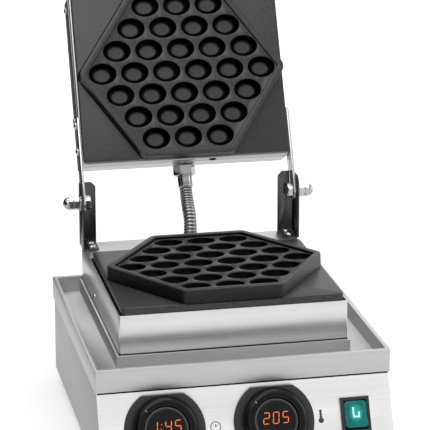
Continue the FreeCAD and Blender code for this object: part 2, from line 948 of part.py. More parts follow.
def knob_ring():
    """The ring that turns round the hub."""
    low = bezel_thickness + knob_gap
    ring = rod(ring_outer, Vector(0, 0, low), Z_AXIS, ring_height - low)
    return drilled(ring, ring_inner, [Vector(0, 0, low)], Z_AXIS, ring_height - low)


def display_window():
    return rod(hub_radius, Vector(0, 0, hub_height), Z_AXIS, window_thickness)


def control_board():
    """The circuit board behind the panel, on the panel's back through its spacer block."""
    half_x = board_width / 2
    half_y = board_height / 2
    board = block(-half_x, half_x, -half_y, half_y, -board_drop - board_thickness, -board_drop)
    spacer = block(-half_x / 2, half_x / 2, -half_y / 2, half_y / 2, -board_drop, -case_sheet)
    return board.fuse(spacer)


def switch_frame():
    half_x = switch_width / 2
    half_y = switch_height / 2
    body_x = half_x - switch_lip
    body_y = half_y - switch_lip
    well_x = half_x - switch_frame_wall
    well_y = half_y - switch_frame_wall
    lip = block(-half_x, half_x, -half_y, half_y, 0, switch_lip)
    body = block(-body_x, body_x, -body_y, body_y, -switch_body_depth, 0)
    well = block(-well_x, well_x, -well_y, well_y, -rocker_depth - rocker_rise, switch_lip + overrun)
    reach = body_x - running_gap
    axle_hole = rod(rocker_axle_radius + running_gap, Vector(-reach, 0, 0), X_AXIS, 2 * reach)
    return lip.fuse(body).cut(well).cut(axle_hole)


def rocker():
    """A rocker with two faces that meet at its middle, on a cross axle, as it lies when pressed on."""
    half_x = switch_width / 2 - switch_frame_wall - rocker_gap
    half_y = switch_height / 2 - switch_frame_wall - rocker_end_gap
    belly_y = half_y * rocker_belly_share
    section = [
        Vector(-half_x, -half_y, rocker_rise),
        Vector(-half_x, 0, switch_lip + rocker_gap),
        Vector(-half_x, half_y, rocker_rise),
        Vector(-half_x, belly_y, -rocker_rise / 2),
        Vector(-half_x, 0, -rocker_depth / 2),
        Vector(-half_x, -belly_y, -rocker_rise / 2),
    ]
    body = slab(section, Vector(2 * half_x, 0, 0))
    reach = switch_width / 2 - switch_lip - 2 * running_gap
    body = body.fuse(rod(rocker_axle_radius, Vector(-reach, 0, 0), X_AXIS, 2 * reach))
    body.rotate(Vector(0, 0, 0), X_AXIS, -rocker_tilt)
    return body


# Feet, cable inlet and the parts inside the casing
def foot_places():
    x = case_half_width - foot_inset_x
    front = panel_front_y + foot_inset_y
    rear = case_half_depth - foot_inset_y
    return [Vector(side * x, y, 0) for side in (-1, 1) for y in (front, rear)]


def feet():
    return group([prism(foot_radius, foot_sides, place, Z_AXIS, foot_height) for place in foot_places()])


def cable_inlet():
    """The gland of the supply lead in the back wall."""
    seat = Vector(inlet_x, case_half_depth, panel_foot + inlet_height)
    nut = hexagon_bar(inlet_nut_flats, seat, Y_AXIS, inlet_nut_height)
    nose = prism(inlet_radius, inlet_sides, seat + Y_AXIS * inlet_nut_height, Y_AXIS, inlet_nose)
    return drilled(nut.fuse(nose), inlet_bore, [seat], Y_AXIS, inlet_nut_height + inlet_nose)


def terminal_block():
    low = panel_foot
    y0 = case_half_depth - case_flange - terminal_width - inlet_nut_flats
    x0 = inlet_x - terminal_length / 2
    body = block(x0, x0 + terminal_length, y0, y0 + terminal_width, low, low + terminal_height)
    pitch = terminal_length / terminal_ways
    y = y0 + (terminal_width - terminal_well) / 2
    top = low + terminal_height
    for i in range(terminal_ways):
        x = x0 + i * pitch + (pitch - terminal_well) / 2
        body = body.cut(block(x, x + terminal_well, y, y + terminal_well, top - terminal_well, top + overrun))
    return body


def thermal_cutout():
    """The safety thermostat under the lower heat pan."""
    half = cutout_width / 2
    top = housing_bottom + case_sheet
    return block(-half, half, plate_middle_y - half, plate_middle_y + half, top - cutout_height, top)


def save(name, shape):
    """Moves a finished piece into the object's frame and writes it."""
    placed = shape.copy()
    placed.translate(Vector(0, middle_shift, 0))
    if not placed.isValid():
        print("not valid:", name)
    placed.exportStep(os.path.join("parts", name + ".step"))


def main():
    os.makedirs("parts", exist_ok=True)
    lower_depth = plate_under - housing_bottom - case_sheet
    upper_depth = lid_frame_height + lid_cover_height - lid_sheet

    save("drip_tray", drip_tray())
    save("casing_shell", casing_shell())
    save("bottom_plate", bottom_plate())
    save("front_panel", front_panel())
    save("plate_housing", plate_housing())

    save("lower_plate", to_lower(egg_plate()))
    save("lower_heating_rods", to_lower(heating_rods()))
    save("lower_rod_clamp", to_lower(rod_clamp()))
    save("lower_sensor", to_lower(plate_sensor()))
    save("lower_heat_pan", to_lower(heat_pan(lower_depth)))
    save("lower_insulation", to_lower(insulation(lower_depth)))
    save("thermal_cutout", thermal_cutout())

    save("post_right", post())
    save("post_left", mirrored(post()))
    save("hinge_bolts", both_sides(hinge_bolt()))
    save("hinge_washers", both_sides(hinge_washer()))
    save("hinge_nuts", both_sides(hinge_nut()))
    save("hinge_cap_nuts", both_sides(cap_nut()))

    save("upper_plate", to_upper(egg_plate()))
    save("upper_heating_rods", to_upper(heating_rods()))
    save("upper_rod_clamp", to_upper(rod_clamp()))
    save("upper_sensor", to_upper(plate_sensor()))
    save("upper_heat_pan", to_upper(heat_pan(upper_depth)))
    save("upper_insulation", to_upper(insulation(upper_depth)))
    save("lid_frame", lid_frame())
    save("lid_cover", lid_cover())
    save("lid_arm_right", open_lid(lid_arm()))
    save("lid_arm_left", open_lid(mirrored(lid_arm())))
    save("handle_straps", open_lid(both_sides(handle_strap_piece())))
    save("handle_grip", open_lid(handle_grip()))
    save("handle_rod", open_lid(handle_rod()))

    save("lid_gland", lid_gland())
    save("deck_gland", deck_gland())
    save("conduit", conduit())

    seats = (timer_x, temperature_x)
    save("control_bezels", group([on_panel(bezel(), x, -control_drop) for x in seats]))
    save("timer_ring", on_panel(knob_ring(), timer_x, -control_drop))
    save("temperature_ring", on_panel(knob_ring(), temperature_x, -control_drop))
    save("display_windows", group([on_panel(display_window(), x, -control_drop) for x in seats]))
    save("control_boards", group([on_panel(control_board(), x, -control_drop) for x in seats]))
    save("switch_frame", on_panel(switch_frame(), switch_x, -control_drop))
    save("switch_rocker", on_panel(rocker(), switch_x, -control_drop))

    save("feet", feet())
    save("cable_inlet", cable_inlet())
    save("terminal_block", terminal_block())


if __name__ == "__main__":
    main()
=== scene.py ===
import json
import logging
import math
from dataclasses import dataclass, field
from enum import Enum
from typing import Iterable, Mapping, Sequence

import bmesh
import bpy
from mathutils import Matrix, Vector
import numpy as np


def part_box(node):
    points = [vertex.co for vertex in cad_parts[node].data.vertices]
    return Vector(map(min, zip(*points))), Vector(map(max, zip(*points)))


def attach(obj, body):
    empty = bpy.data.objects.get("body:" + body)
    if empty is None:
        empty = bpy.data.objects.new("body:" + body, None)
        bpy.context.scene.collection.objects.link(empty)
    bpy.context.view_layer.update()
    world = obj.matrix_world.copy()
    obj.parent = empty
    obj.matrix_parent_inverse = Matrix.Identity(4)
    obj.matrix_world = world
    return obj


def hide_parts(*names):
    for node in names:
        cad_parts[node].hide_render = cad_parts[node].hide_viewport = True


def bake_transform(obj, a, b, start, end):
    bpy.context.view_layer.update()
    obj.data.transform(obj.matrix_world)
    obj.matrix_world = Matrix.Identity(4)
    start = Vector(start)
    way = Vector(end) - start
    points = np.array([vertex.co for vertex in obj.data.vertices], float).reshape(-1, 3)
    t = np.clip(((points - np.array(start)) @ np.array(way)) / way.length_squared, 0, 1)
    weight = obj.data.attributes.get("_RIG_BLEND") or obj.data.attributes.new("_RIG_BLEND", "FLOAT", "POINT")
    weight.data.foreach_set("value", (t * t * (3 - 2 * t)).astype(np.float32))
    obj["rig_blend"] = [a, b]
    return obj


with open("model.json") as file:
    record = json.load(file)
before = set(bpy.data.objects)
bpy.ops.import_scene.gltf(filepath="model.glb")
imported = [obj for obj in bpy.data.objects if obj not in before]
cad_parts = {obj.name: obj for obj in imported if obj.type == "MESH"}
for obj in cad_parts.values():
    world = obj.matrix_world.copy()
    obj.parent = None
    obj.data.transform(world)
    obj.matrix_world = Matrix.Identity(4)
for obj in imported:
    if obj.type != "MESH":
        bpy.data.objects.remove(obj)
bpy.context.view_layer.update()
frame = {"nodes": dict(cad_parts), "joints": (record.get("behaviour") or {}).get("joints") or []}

BMesh = bmesh.types.BMesh
BMVert = bmesh.types.BMVert
Node = bpy.types.Node
NodeTree = bpy.types.NodeTree
Piece = bpy.types.Object
Socket = bpy.types.NodeSocket
Point = tuple[float, float]
Colour = tuple[float, float, float]
Profile = tuple[Point, ...]
DarkProfile = tuple[tuple[float, float, float], ...]
Places = list[tuple[Vector, Vector]]

MM = 0.001
TOUCHING = 0.001 * MM
# Names the attribute that paints shade into recesses: the cups' walls, the creases round the hexagon and the hose's
# valleys.
PAINTED_SHADE = "hollow"
HERE = Matrix.Identity(4)
X_AXIS = Vector((1.0, 0.0, 0.0))
Y_AXIS = Vector((0.0, 1.0, 0.0))
Z_AXIS = Vector((0.0, 0.0, 1.0))
SIXTH = math.radians(60)
WHITE = (1.0, 1.0, 1.0, 1.0)
DARK = (0.0, 0.0, 0.0, 1.0)
COAT_ROUGHNESS = 0.08
STEEL_SHADES = ((0.88, 0.88, 0.87), (1.08, 1.08, 1.07))
PLASTIC_LIFT = 1.5
SHARP_FOLD = 40.0
FLAT_ANGLE = 0.5
ROUND_ARC = 4 / 3

log = logging.getLogger("egg_waffle_pan")


class Body(Enum):
    """The moving bodies of the machine."""

    BASE = "base"
    LID = "lid"
    TIMER = "timer_knob"
    TEMPERATURE = "temperature_knob"
    ROCKER = "power_rocker"


class Blend(Enum):
    """How shader values are put together."""

    MULTIPLY = "MULTIPLY"
    ADD = "ADD"
    SUBTRACT = "SUBTRACT"
    POWER = "POWER"
    ABSOLUTE = "ABSOLUTE"
    SINE = "SINE"
    FLOOR = "FLOOR"
    DIVIDE = "DIVIDE"
    MODULO = "MODULO"
    GREATER = "GREATER_THAN"
    MAXIMUM = "MAXIMUM"


@dataclass(frozen=True)
class Tree:
    """A shader or geometry tree that is being put together."""

    tree: NodeTree

    def fill(self, node: Node, inputs: dict[str | int, object]) -> None:
        """Gives a node's inputs what they read.

        Args:
            node: the node.
            inputs: a socket or a plain value, by the input's name or number.
        """
        for name, value in inputs.items():
            if isinstance(value, Socket):
                self.tree.links.new(value, node.inputs[name])
            else:
                node.inputs[name].default_value = value

    def add(self, kind: str, inputs: dict[str | int, object] | None = None, **settings: object) -> Node:
        """Adds a node.

        Args:
            kind: Blender's name of the node type.
            inputs: a socket or a plain value, by the input's name or number.
            settings: properties of the node, which are set first.

        Returns:
            The new node.
        """
        node = self.tree.nodes.new(kind)
        for name, value in settings.items():
            setattr(node, name, value)
        self.fill(node, inputs or {})
        return node

    def math(self, how: Blend, *values: object) -> Socket:
        """Adds a math node for numbers or sockets and gives its output."""
        return self.add("ShaderNodeMath", dict(enumerate(values)), operation=how.value).outputs[0]

    def ramp(self, source: Socket, low: float, high: float, start: float, end: float) -> Socket:
        """Maps a value from low and high to start and end, and clamps it."""
        inputs = {"Value": source, "From Min": low, "From Max": high, "To Min": start, "To Max": end}
        return self.add("ShaderNodeMapRange", inputs).outputs["Result"]

    def mix(self, share: Socket, first: object, second: object, how: str = "MIX") -> Socket:
        """Mixes two colours: the node takes them as inputs 6 and 7 and gives output 2."""
        inputs = {"Factor": share, 6: first, 7: second}
        return self.add("ShaderNodeMix", inputs, data_type="RGBA", blend_type=how).outputs[2]

    def noise(self, where: Socket, scale: object, detail: float, roughness: float = 0.5) -> Socket:
        """Adds a noise and gives its value."""
        inputs = {"Vector": where, "Scale": scale, "Detail": detail, "Roughness": roughness}
        return self.add("ShaderNodeTexNoise", inputs).outputs[0]


def new_material(name: str) -> tuple[bpy.types.Material, Tree, Node]:
    """Starts a material.

    Args:
        name: its name.

    Returns:
        The material, its tree and its shader.
    """
    material = bpy.data.materials.new(name)
    material.use_nodes = True
    return material, Tree(material.node_tree), material.node_tree.nodes["Principled BSDF"]


def mask_group(name: str, control: str, value: float) -> tuple[Tree, Socket, Mapping[str, Socket], Node]:
    """Starts a shader group that puts out a mask.

    Args:
        name: the group's name.
        control: the name of its input.
        value: the input's value when none is set.

    Returns:
        The group's tree, its input, the coordinates and its output node.
    """
    group = bpy.data.node_groups.new(name, "ShaderNodeTree")
    socket = group.interface.new_socket(name=control, in_out="INPUT", socket_type="NodeSocketFloat")
    socket.default_value = value
    group.interface.new_socket(name="Mask", in_out="OUTPUT", socket_type="NodeSocketFloat")
    tree = Tree(group)
    given = tree.add("NodeGroupInput").outputs[control]
    return tree, given, tree.add("ShaderNodeTexCoord").outputs, tree.add("NodeGroupOutput")


def brushed_grain(run: float, fineness: float, detail: float, top_slope: float) -> None:
    """Builds the grain of brushed sheet: level on walls, and across the sheet on tops.

    Args:
        run: grains per metre along the brushing.
        fineness: grains per metre across it.
        detail: how many finer layers it has.
        top_slope: the upward share of a normal from which a face is a top.
    """
    tree, contrast, where, end = mask_group("brushed_grain", "Contrast", 1.0)
    grains = []
    for stretch in ((run, run, fineness), (run, fineness, run)):
        mapped = tree.add("ShaderNodeMapping", {"Vector": where["Object"], "Scale": stretch}, vector_type="POINT")
        grains.append(tree.noise(mapped.outputs[0], 1.0, detail))
    level = tree.add("ShaderNodeSeparateXYZ", {0: where["Normal"]}).outputs["Z"]
    is_top = tree.math(Blend.GREATER, tree.math(Blend.ABSOLUTE, level), top_slope)
    mixed = tree.add("ShaderNodeMix", {"Factor": is_top, 2: grains[0], 3: grains[1]}, data_type="FLOAT")
    centred = tree.math(Blend.SUBTRACT, mixed.outputs[0], 0.5)
    tree.fill(end, {"Mask": tree.math(Blend.ADD, tree.math(Blend.MULTIPLY, centred, contrast), 0.5)})


def cloud_group(name: str, size: float, detail: float, roughness: float, edge: float) -> None:
    """Builds a group whose mask is an even cloud of spots.

    Args:
        name: the group's name.
        size: spots per metre when none is set.
        detail: how many finer layers it has.
        roughness: how strong the finer layers are.
        edge: how far from 0 and 1 the noise is cut off.
    """
    tree, scale, where, end = mask_group(name, "Size", size)
    noise = tree.noise(where["Object"], scale, detail, roughness)
    tree.fill(end, {"Mask": tree.ramp(noise, edge, 1.0 - edge, 0.0, 1.0)})


@dataclass(frozen=True)
class Finish:
    """A surface finish with its colour, its gloss and how both vary over the surface."""

    name: str
    slot: str
    colour: Colour
    second: Colour
    roughness: float
    spread: float
    group: str
    control: float
    bump: float = 0.0
    metallic: float = 0.0
    anisotropic: float = 0.0
    coat: float = 0.0
    glow: float = 0.0
    marks: float = 0.0
    specular: float = 0.5
    hollow: float = 0.0

    def build(self) -> bpy.types.Material:
        """Builds the material.

        Returns:
            The material, made once under the finish's name.
        """
        made = bpy.data.materials.get(self.name)
        if made:
            return made
        material, tree, shader = new_material(self.name)
        texture = tree.add("ShaderNodeGroup", {0: self.control}, node_tree=bpy.data.node_groups[self.group])
        mask = texture.outputs["Mask"]
        colour = tree.mix(mask, (*self.colour, 1.0), (*self.second, 1.0))
        rough = tree.ramp(mask, 0.0, 1.0, self.roughness - self.spread, self.roughness + self.spread)
        inputs = {
            "Metallic": self.metallic, "Anisotropic": self.anisotropic, "Coat Weight": self.coat,
            "Coat Roughness": COAT_ROUGHNESS, "Specular IOR Level": self.specular,
        }
        # Painted shade: the attribute darkens the colour and turns it metallic in recesses.
        if self.hollow:
            deep = tree.add("ShaderNodeAttribute", attribute_name=PAINTED_SHADE).outputs["Fac"]
            share = tree.math(Blend.MULTIPLY, deep, self.hollow)
            colour = tree.mix(share, colour, DARK, "MULTIPLY")
            inputs["Metallic"] = self.metallic or share
        if self.marks:
            touch = tree.add("ShaderNodeGroup", node_tree=bpy.data.node_groups["handling_marks"])
            rough = tree.math(Blend.ADD, rough, tree.math(Blend.MULTIPLY, touch.outputs["Mask"], self.marks))
        if self.bump:
            bump = tree.add("ShaderNodeBump", {"Strength": 1.0, "Distance": self.bump * MM, "Height": mask})
            inputs["Normal"] = bump.outputs[0]
        if self.glow:
            inputs |= {"Emission Strength": self.glow, "Emission Color": colour}
        tree.fill(shader, {**inputs, "Base Color": colour, "Roughness": rough})
        return material


def steel(name: str, slot: str, level: float, roughness: float, marks: float = 0.03) -> Finish:
    """Describes a brushed steel finish.

    Args:
        name: the finish's name.
        slot: the record's slot.
        level: how light the metal is.
        roughness: how soft its reflections are.
        marks: how much handling dulls it.

    Returns:
        The finish.
    """
    dark, light = (tuple(level * share for share in shares) for shares in STEEL_SHADES)
    return Finish(
        name, slot, dark, light, roughness, spread=0.06, group="brushed_grain", control=1.5, bump=0.004,
        metallic=1.0, anisotropic=0.5, marks=marks,
    )


def plastic(name: str, slot: str, level: float, roughness: float, bump: float = 0.006) -> Finish:
    """Describes a black moulded plastic.

    Args:
        name: the finish's name.
        slot: the record's slot.
        level: how light the black is.
        roughness: how dull it is.
        bump: depth of its moulded texture, in millimetres.

    Returns:
        The finish.
    """
    low, high = ((share, share, share) for share in (level, level * PLASTIC_LIFT))
    return Finish(
        name, slot, low, high, roughness, spread=0.05, group="fine_speckle", control=1400.0, bump=bump,
        marks=0.03, specular=0.22,
    )


# Steel levels are the steel's own tone and also painted light and shade: one steel gets a different level on each
# part to stand in for how light falls, darker on the casing's sides, near black on the posts (painted shade) and
# lighter on the panel and housing (painted light).
HOUSING = steel("housing_sheet", "steel_sheet", level=0.66, roughness=0.34)
CASING = steel("casing_sheet", "steel_sheet", level=0.34, roughness=0.38)
COVER = steel("cover_sheet", "steel_sheet", level=0.46, roughness=0.28)
PANEL = steel("brushed_panel", "steel_sheet", level=0.78, roughness=0.38)
TRAY = steel("tray_sheet", "steel_sheet", level=0.53, roughness=0.48)
STRIP = steel("dull_strip", "lid_frame_steel", level=0.44, roughness=0.3)
BAR = steel("flat_bar", "arm_steel", level=0.5, roughness=0.24)
POST = steel("post_sheet", "steel_sheet", level=0.08, roughness=0.24)
ZINC = steel("zinc_sheet", "galvanised", level=0.5, roughness=0.42)
NUT = steel("plated_hardware", "fastener", level=0.46, roughness=0.16, marks=0.02)
BRIGHT = steel("bright_nut", "chrome_nut", level=0.42, roughness=0.12, marks=0.01)
GLAND = steel("plated_gland", "gland_metal", level=0.34, roughness=0.05, marks=0.01)
HOSE = Finish(
    "hose_metal", "conduit_metal", (0.3, 0.3, 0.29), (0.44, 0.44, 0.43), roughness=0.22, spread=0.05,
    group="fine_speckle", control=500.0, bump=0.004, metallic=1.0, marks=0.03, hollow=0.93,
)
TINTED = Finish(
    "heat_tinted", "heater_steel", (0.22, 0.17, 0.13), (0.36, 0.3, 0.26), roughness=0.4, spread=0.1,
    group="handling_marks", control=60.0, bump=0.004, metallic=1.0,
)
COATING = Finish(
    "non_stick_coat", "coated_plate", (0.012, 0.012, 0.0115), (0.046, 0.046, 0.0445), roughness=0.36, spread=0.06,
    group="fine_speckle", control=700.0, bump=0.05, marks=0.04, specular=0.45, hollow=0.92,
)
WOOL = Finish(
    "mineral_wool", "mineral_wool", (0.55, 0.5, 0.38), (0.78, 0.74, 0.62), roughness=0.95, spread=0.04,
    group="fine_speckle", control=420.0, bump=0.3,
)
BLACK = plastic("black_plastic", "black_plastic", level=0.006, roughness=0.2)
KNOB = plastic("knob_plastic", "black_plastic", level=0.003, roughness=0.08, bump=0.001)
# A pale grey ring stands in for the highlight on the hub's edge: painted highlight.
PAINTED_HIGHLIGHT_RIM = plastic("painted_highlight_rim", "black_plastic", level=0.14, roughness=0.2, bump=0.001)
GRIP = plastic("grip_plastic", "grip_plastic", level=0.012, roughness=0.38, bump=0.012)
RUBBER = plastic("foot_rubber", "rubber_foot", level=0.02, roughness=0.7, bump=0.03)
SMOKED = Finish(
    "smoked_window", "dark_window", (0.002, 0.0015, 0.0015), (0.004, 0.003, 0.003), roughness=0.06, spread=0.02,
    group="handling_marks", control=40.0, specular=0.2,
)
LENS = Finish(
    "teal_lens", "green_plastic", (0.0, 0.1, 0.088), (0.0, 0.16, 0.142), roughness=0.1, spread=0.03,
    group="handling_marks", control=160.0, glow=0.45, specular=0.22,
)
LAMP = Finish(
    "lens_core", "green_plastic", (0.3, 0.62, 0.58), (0.5, 0.75, 0.72), roughness=0.2, spread=0.04,
    group="fine_speckle", control=500.0, glow=0.8,
)
DIGIT = Finish(
    "lit_digit", "dark_window", (0.66, 0.13, 0.02), (0.84, 0.2, 0.05), roughness=0.4, spread=0.05,
    group="fine_speckle", control=900.0, glow=0.7,
)
INK = Finish(
    "panel_ink", "black_plastic", (0.03, 0.03, 0.03), (0.06, 0.06, 0.06), roughness=0.5, spread=0.05,
    group="fine_speckle", control=1800.0,
)
MARK = Finish(
    "pale_mark", "black_plastic", (0.45, 0.45, 0.45), (0.6, 0.6, 0.6), roughness=0.4, spread=0.05,
    group="fine_speckle", control=1800.0,
)
BOARD = Finish(
    "circuit_board", "board", (0.01, 0.1, 0.03), (0.03, 0.2, 0.07), roughness=0.35, spread=0.1,
    group="handling_marks", control=220.0, coat=0.3,
)
PALE = Finish(
    "terminal_plastic", "terminal_plastic", (0.6, 0.59, 0.53), (0.7, 0.69, 0.63), roughness=0.45, spread=0.06,
    group="fine_speckle", control=1200.0, bump=0.008,
)
# Black of the lid's plug, and painted shadow on the strips that stand in the sheet gaps.
PLUG_AND_SHADOW_BLACK = Finish(
    "plug_and_painted_shadow", "black_plastic", (0.004, 0.004, 0.004), (0.01, 0.01, 0.01), roughness=0.8, spread=0.05,
    group="fine_speckle", control=900.0, specular=0.2,
)


def placed(name: str, data: bpy.types.ID) -> Piece:
    """Puts data into the scene as an object.

    Args:
        name: the object's name.
        data: its mesh, curve, lamp or camera.

    Returns:
        The object, at the origin.
    """
    piece = bpy.data.objects.new(name, data)
    bpy.context.scene.collection.objects.link(piece)
    return piece


def plain_mesh(name: str, bm: BMesh) -> bpy.types.Mesh:
    """Turns a mesh that was put together into plain data.

    Args:
        name: its name.
        bm: the mesh, which is freed.

    Returns:
        The plain mesh.
    """
    mesh = bpy.data.meshes.new(name)
    bm.to_mesh(mesh)
    bm.free()
    return mesh


def mesh_object(name: str, bm: BMesh, finish: Finish, smooth: float = 30.0) -> Piece:
    """Makes an object of a finished mesh.

    Args:
        name: the piece's name.
        bm: its mesh, in metres and in its place.
        finish: its finish.
        smooth: edges sharper than this angle stay sharp, in degrees.

    Returns:
        The object, at the origin.
    """
    mesh = plain_mesh(name, bm)
    for polygon in mesh.polygons:
        polygon.use_smooth = True
    mesh.set_sharp_from_angle(angle=math.radians(smooth))
    mesh.materials.append(finish.build())
    return placed(name, mesh)


def evaluated_mesh(piece: Piece) -> bpy.types.Mesh:
    """Gives the plain mesh that a piece's modifiers make."""
    bpy.context.view_layer.update()
    return bpy.data.meshes.new_from_object(piece.evaluated_get(bpy.context.evaluated_depsgraph_get()))


def applied(piece: Piece) -> None:
    """Turns a piece's live modifiers into plain mesh.

    Args:
        piece: an object with modifiers.
    """
    mesh = evaluated_mesh(piece)
    piece.modifiers.clear()
    piece.data = mesh


def settle(piece: Piece, body: Body, finish: Finish, *nodes: str) -> None:
    """Ties a piece to its body and hides the nodes that it stands for.

    Args:
        piece: the finished object.
        body: the body that it rides on.
        finish: its finish, whose name goes into the log.
        nodes: the nodes that it replaces.
    """
    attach(piece, body.value)
    if nodes:
        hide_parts(*nodes)
    log.info("%s rides on %s with %s", piece.name, body.value, finish.name)


def add_piece(
    name: str, shapes: Iterable[BMesh], finish: Finish, body: Body, *nodes: str, smooth: float = 30.0
) -> None:
    """Makes a settled piece of one or more shapes.

    Args:
        name: the piece's name.
        shapes: its meshes, in metres and in their place.
        finish: its finish.
        body: the body that it rides on.
        nodes: the nodes that it replaces.
        smooth: edges sharper than this angle stay sharp, in degrees.
    """
    settle(mesh_object(name, joined(shapes), finish, smooth), body, finish, *nodes)


def dress(node: str, finish: Finish) -> None:
    """Gives a node that stays its finish.

    Args:
        node: the node.
        finish: what it gets.
    """
    mesh = frame["nodes"][node].data
    mesh.materials.clear()
    mesh.materials.append(finish.build())
    log.info("%s dressed with %s", node, finish.name)


def softened(node: str, name: str, finish: Finish, body: Body, width: float, segments: int = 2) -> None:
    """Makes a piece from a node's own shape, with its sharp edges rounded.

    Args:
        node: the node that it replaces.
        name: the piece's name.
        finish: its finish.
        body: the body that it rides on.
        width: how far the rounding reaches, in millimetres.
        segments: facets across the rounding.
    """
    bm = bmesh.new()
    bm.from_mesh(frame["nodes"][node].data)
    bmesh.ops.remove_doubles(bm, verts=bm.verts, dist=2 * TOUCHING)
    bmesh.ops.dissolve_limit(bm, angle_limit=math.radians(FLAT_ANGLE), verts=bm.verts, edges=bm.edges)
    piece = mesh_object(name, bm, finish, SHARP_FOLD)
    bevel = piece.modifiers.new("edges", "BEVEL")
    bevel.width = width * MM
    bevel.segments = segments
    bevel.limit_method = "ANGLE"
    bevel.angle_limit = math.radians(SHARP_FOLD)
    bevel.use_clamp_overlap = True
    applied(piece)
    piece.data.set_sharp_from_angle(angle=math.radians(SHARP_FOLD))
    settle(piece, body, finish, node)


def circle(radius: float, count: int, six: bool = False, limit: float = math.inf) -> list[Point]:
    """Gives the points of a circle, or of a hexagon.

    Args:
        radius: the circle's radius, or half the hexagon's width across its flats.
        count: how many points there are, a multiple of six on a hexagon.
        six: whether it is a hexagon.
        limit: how far the hexagon's corners may reach.

    Returns:
        The points, anticlockwise.
    """
    points = []
    for i in range(count):
        angle = 2 * math.pi * i / count
        reach = min(radius / math.cos(angle % SIXTH - SIXTH / 2), limit) if six else radius
        points.append((reach * math.cos(angle), reach * math.sin(angle)))
    return points


def rounded_box(half_x: float, half_y: float, corner: float, facets: int, inset: float = 0.0) -> list[Point]:
    """Gives the outline of a rectangle with round corners.

    Args:
        half_x: half its width.
        half_y: half its height.
        corner: the corners' radius.
        facets: how many facets a corner has.
        inset: how far inside that outline the points lie.

    Returns:
        The points, anticlockwise.
    """
    points = []
    for quarter, (sx, sy) in enumerate(((1, 1), (-1, 1), (-1, -1), (1, -1))):
        for k in range(facets + 1):
            angle = math.radians(90 * quarter + 90 * k / facets)
            x = sx * (half_x - corner) + (corner - inset) * math.cos(angle)
            points.append((x, sy * (half_y - corner) + (corner - inset) * math.sin(angle)))
    return points


def shifted(points: Iterable[Point], x: float, y: float) -> list[Point]:
    """Moves points by the same way."""
    return [(x + a, y + b) for a, b in points]


def loop(bm: BMesh, points: Iterable[Point], level: float, dark: float | None = None) -> list[BMVert]:
    """Adds points at one height.

    Args:
        bm: the mesh that gets them.
        points: where they are, in millimetres.
        level: their height, in millimetres.
        dark: how much painted shade they get, or None on a mesh that has no such layer.

    Returns:
        The new points.
    """
    ring = [bm.verts.new((x * MM, y * MM, level * MM)) for x, y in points]
    if dark is not None:
        for vert in ring:
            vert[bm.verts.layers.float[PAINTED_SHADE]] = dark
    return ring


def loft(bm: BMesh, loops: Sequence[Sequence[BMVert]], closed: tuple[bool, bool] = (False, False)) -> None:
    """Joins each loop to the next one with faces.

    Args:
        bm: the mesh.
        loops: equally many points each, or a single one where the skin ends on its axis.
        closed: whether the first and the last loop get a face.
    """
    for outer, inner in zip(loops, loops[1:]):
        count = max(len(outer), len(inner))
        for i in range(count):
            j = (i + 1) % count
            corners = [outer[i % len(outer)], outer[j % len(outer)], inner[j % len(inner)], inner[i % len(inner)]]
            corners = [v for k, v in enumerate(corners) if v not in corners[:k]]
            if len(corners) > 2:
                bm.faces.new(corners)
    if closed[0]:
        bm.faces.new(list(reversed(loops[0])))
    if closed[1]:
        bm.faces.new(loops[-1])


def lathe(profile: Sequence[Point], turns: int, place: Matrix = HERE) -> BMesh:
    """Turns a profile round its axis.

    Args:
        profile: radius and height pairs in millimetres, from the axis outwards and back to it.
        turns: facets round the axis.
        place: puts the local frame, whose Z is the axis, into the machine's frame.

    Returns:
        A closed mesh with outward faces.
    """
    bm = bmesh.new()
    loft(bm, [loop(bm, circle(radius, turns if radius else 1), height) for radius, height in profile])
    if profile[0][0] and profile[0] == profile[-1]:
        bmesh.ops.remove_doubles(bm, verts=bm.verts, dist=TOUCHING)
    bmesh.ops.recalc_face_normals(bm, faces=bm.faces)
    bm.transform(place)
    return bm


@dataclass(frozen=True)
class HexNut:
    """A hexagonal nut or bolt head whose corners are turned off at its ends, in millimetres."""

    flats: float
    length: float
    low_turned: bool = True
    high_turned: bool = True
    bore: float = 0.0
    facets: int = 48
    chamfer: float = 0.11
    steps: tuple[float, ...] = (0.0, 0.25, 0.6, 1.0)
    least: float = 0.98
    growth: float = 0.18

    def build(self, place: Matrix) -> BMesh:
        """Builds it along local Z.

        Args:
            place: puts the local frame into the machine's frame.

        Returns:
            A closed mesh.
        """
        half = self.flats / 2
        turned = [(share * self.chamfer * half, share) for share in self.steps]
        rings = turned if self.low_turned else [(0.0, 1.0)]
        if self.high_turned:
            rings = rings + [(self.length - level, grown) for level, grown in reversed(turned)]
        else:
            rings = rings + [(self.length, 1.0)]
        bm = bmesh.new()
        loops = []
        for level, grown in rings:
            limit = half * (self.least + self.growth * grown)
            loops.append(loop(bm, circle(half, self.facets, True, limit), level))
        if self.bore:
            loops += [loop(bm, circle(self.bore, self.facets), level) for level in (self.length, 0.0)]
            loops.append(loops[0])
        loft(bm, loops, (not self.bore, not self.bore))
        bmesh.ops.recalc_face_normals(bm, faces=bm.faces)
        bm.transform(place)
        return bm


def extruded(outline: Sequence[Point], low: float, high: float, place: Matrix = HERE) -> BMesh:
    """Pushes a flat outline along its local Z.

    Args:
        outline: corners in millimetres, anticlockwise.
        low: start height in millimetres.
        high: end height in millimetres.
        place: puts the local frame into the machine's frame.

    Returns:
        A closed mesh.
    """
    bm = bmesh.new()
    loft(bm, [loop(bm, outline, level) for level in (low, high)], (True, True))
    bm.transform(place)
    return bm


def rectangle(x0: float, x1: float, y0: float, y1: float) -> Profile:
    """Gives the corners of a rectangle, anticlockwise."""
    return ((x0, y0), (x1, y0), (x1, y1), (x0, y1))


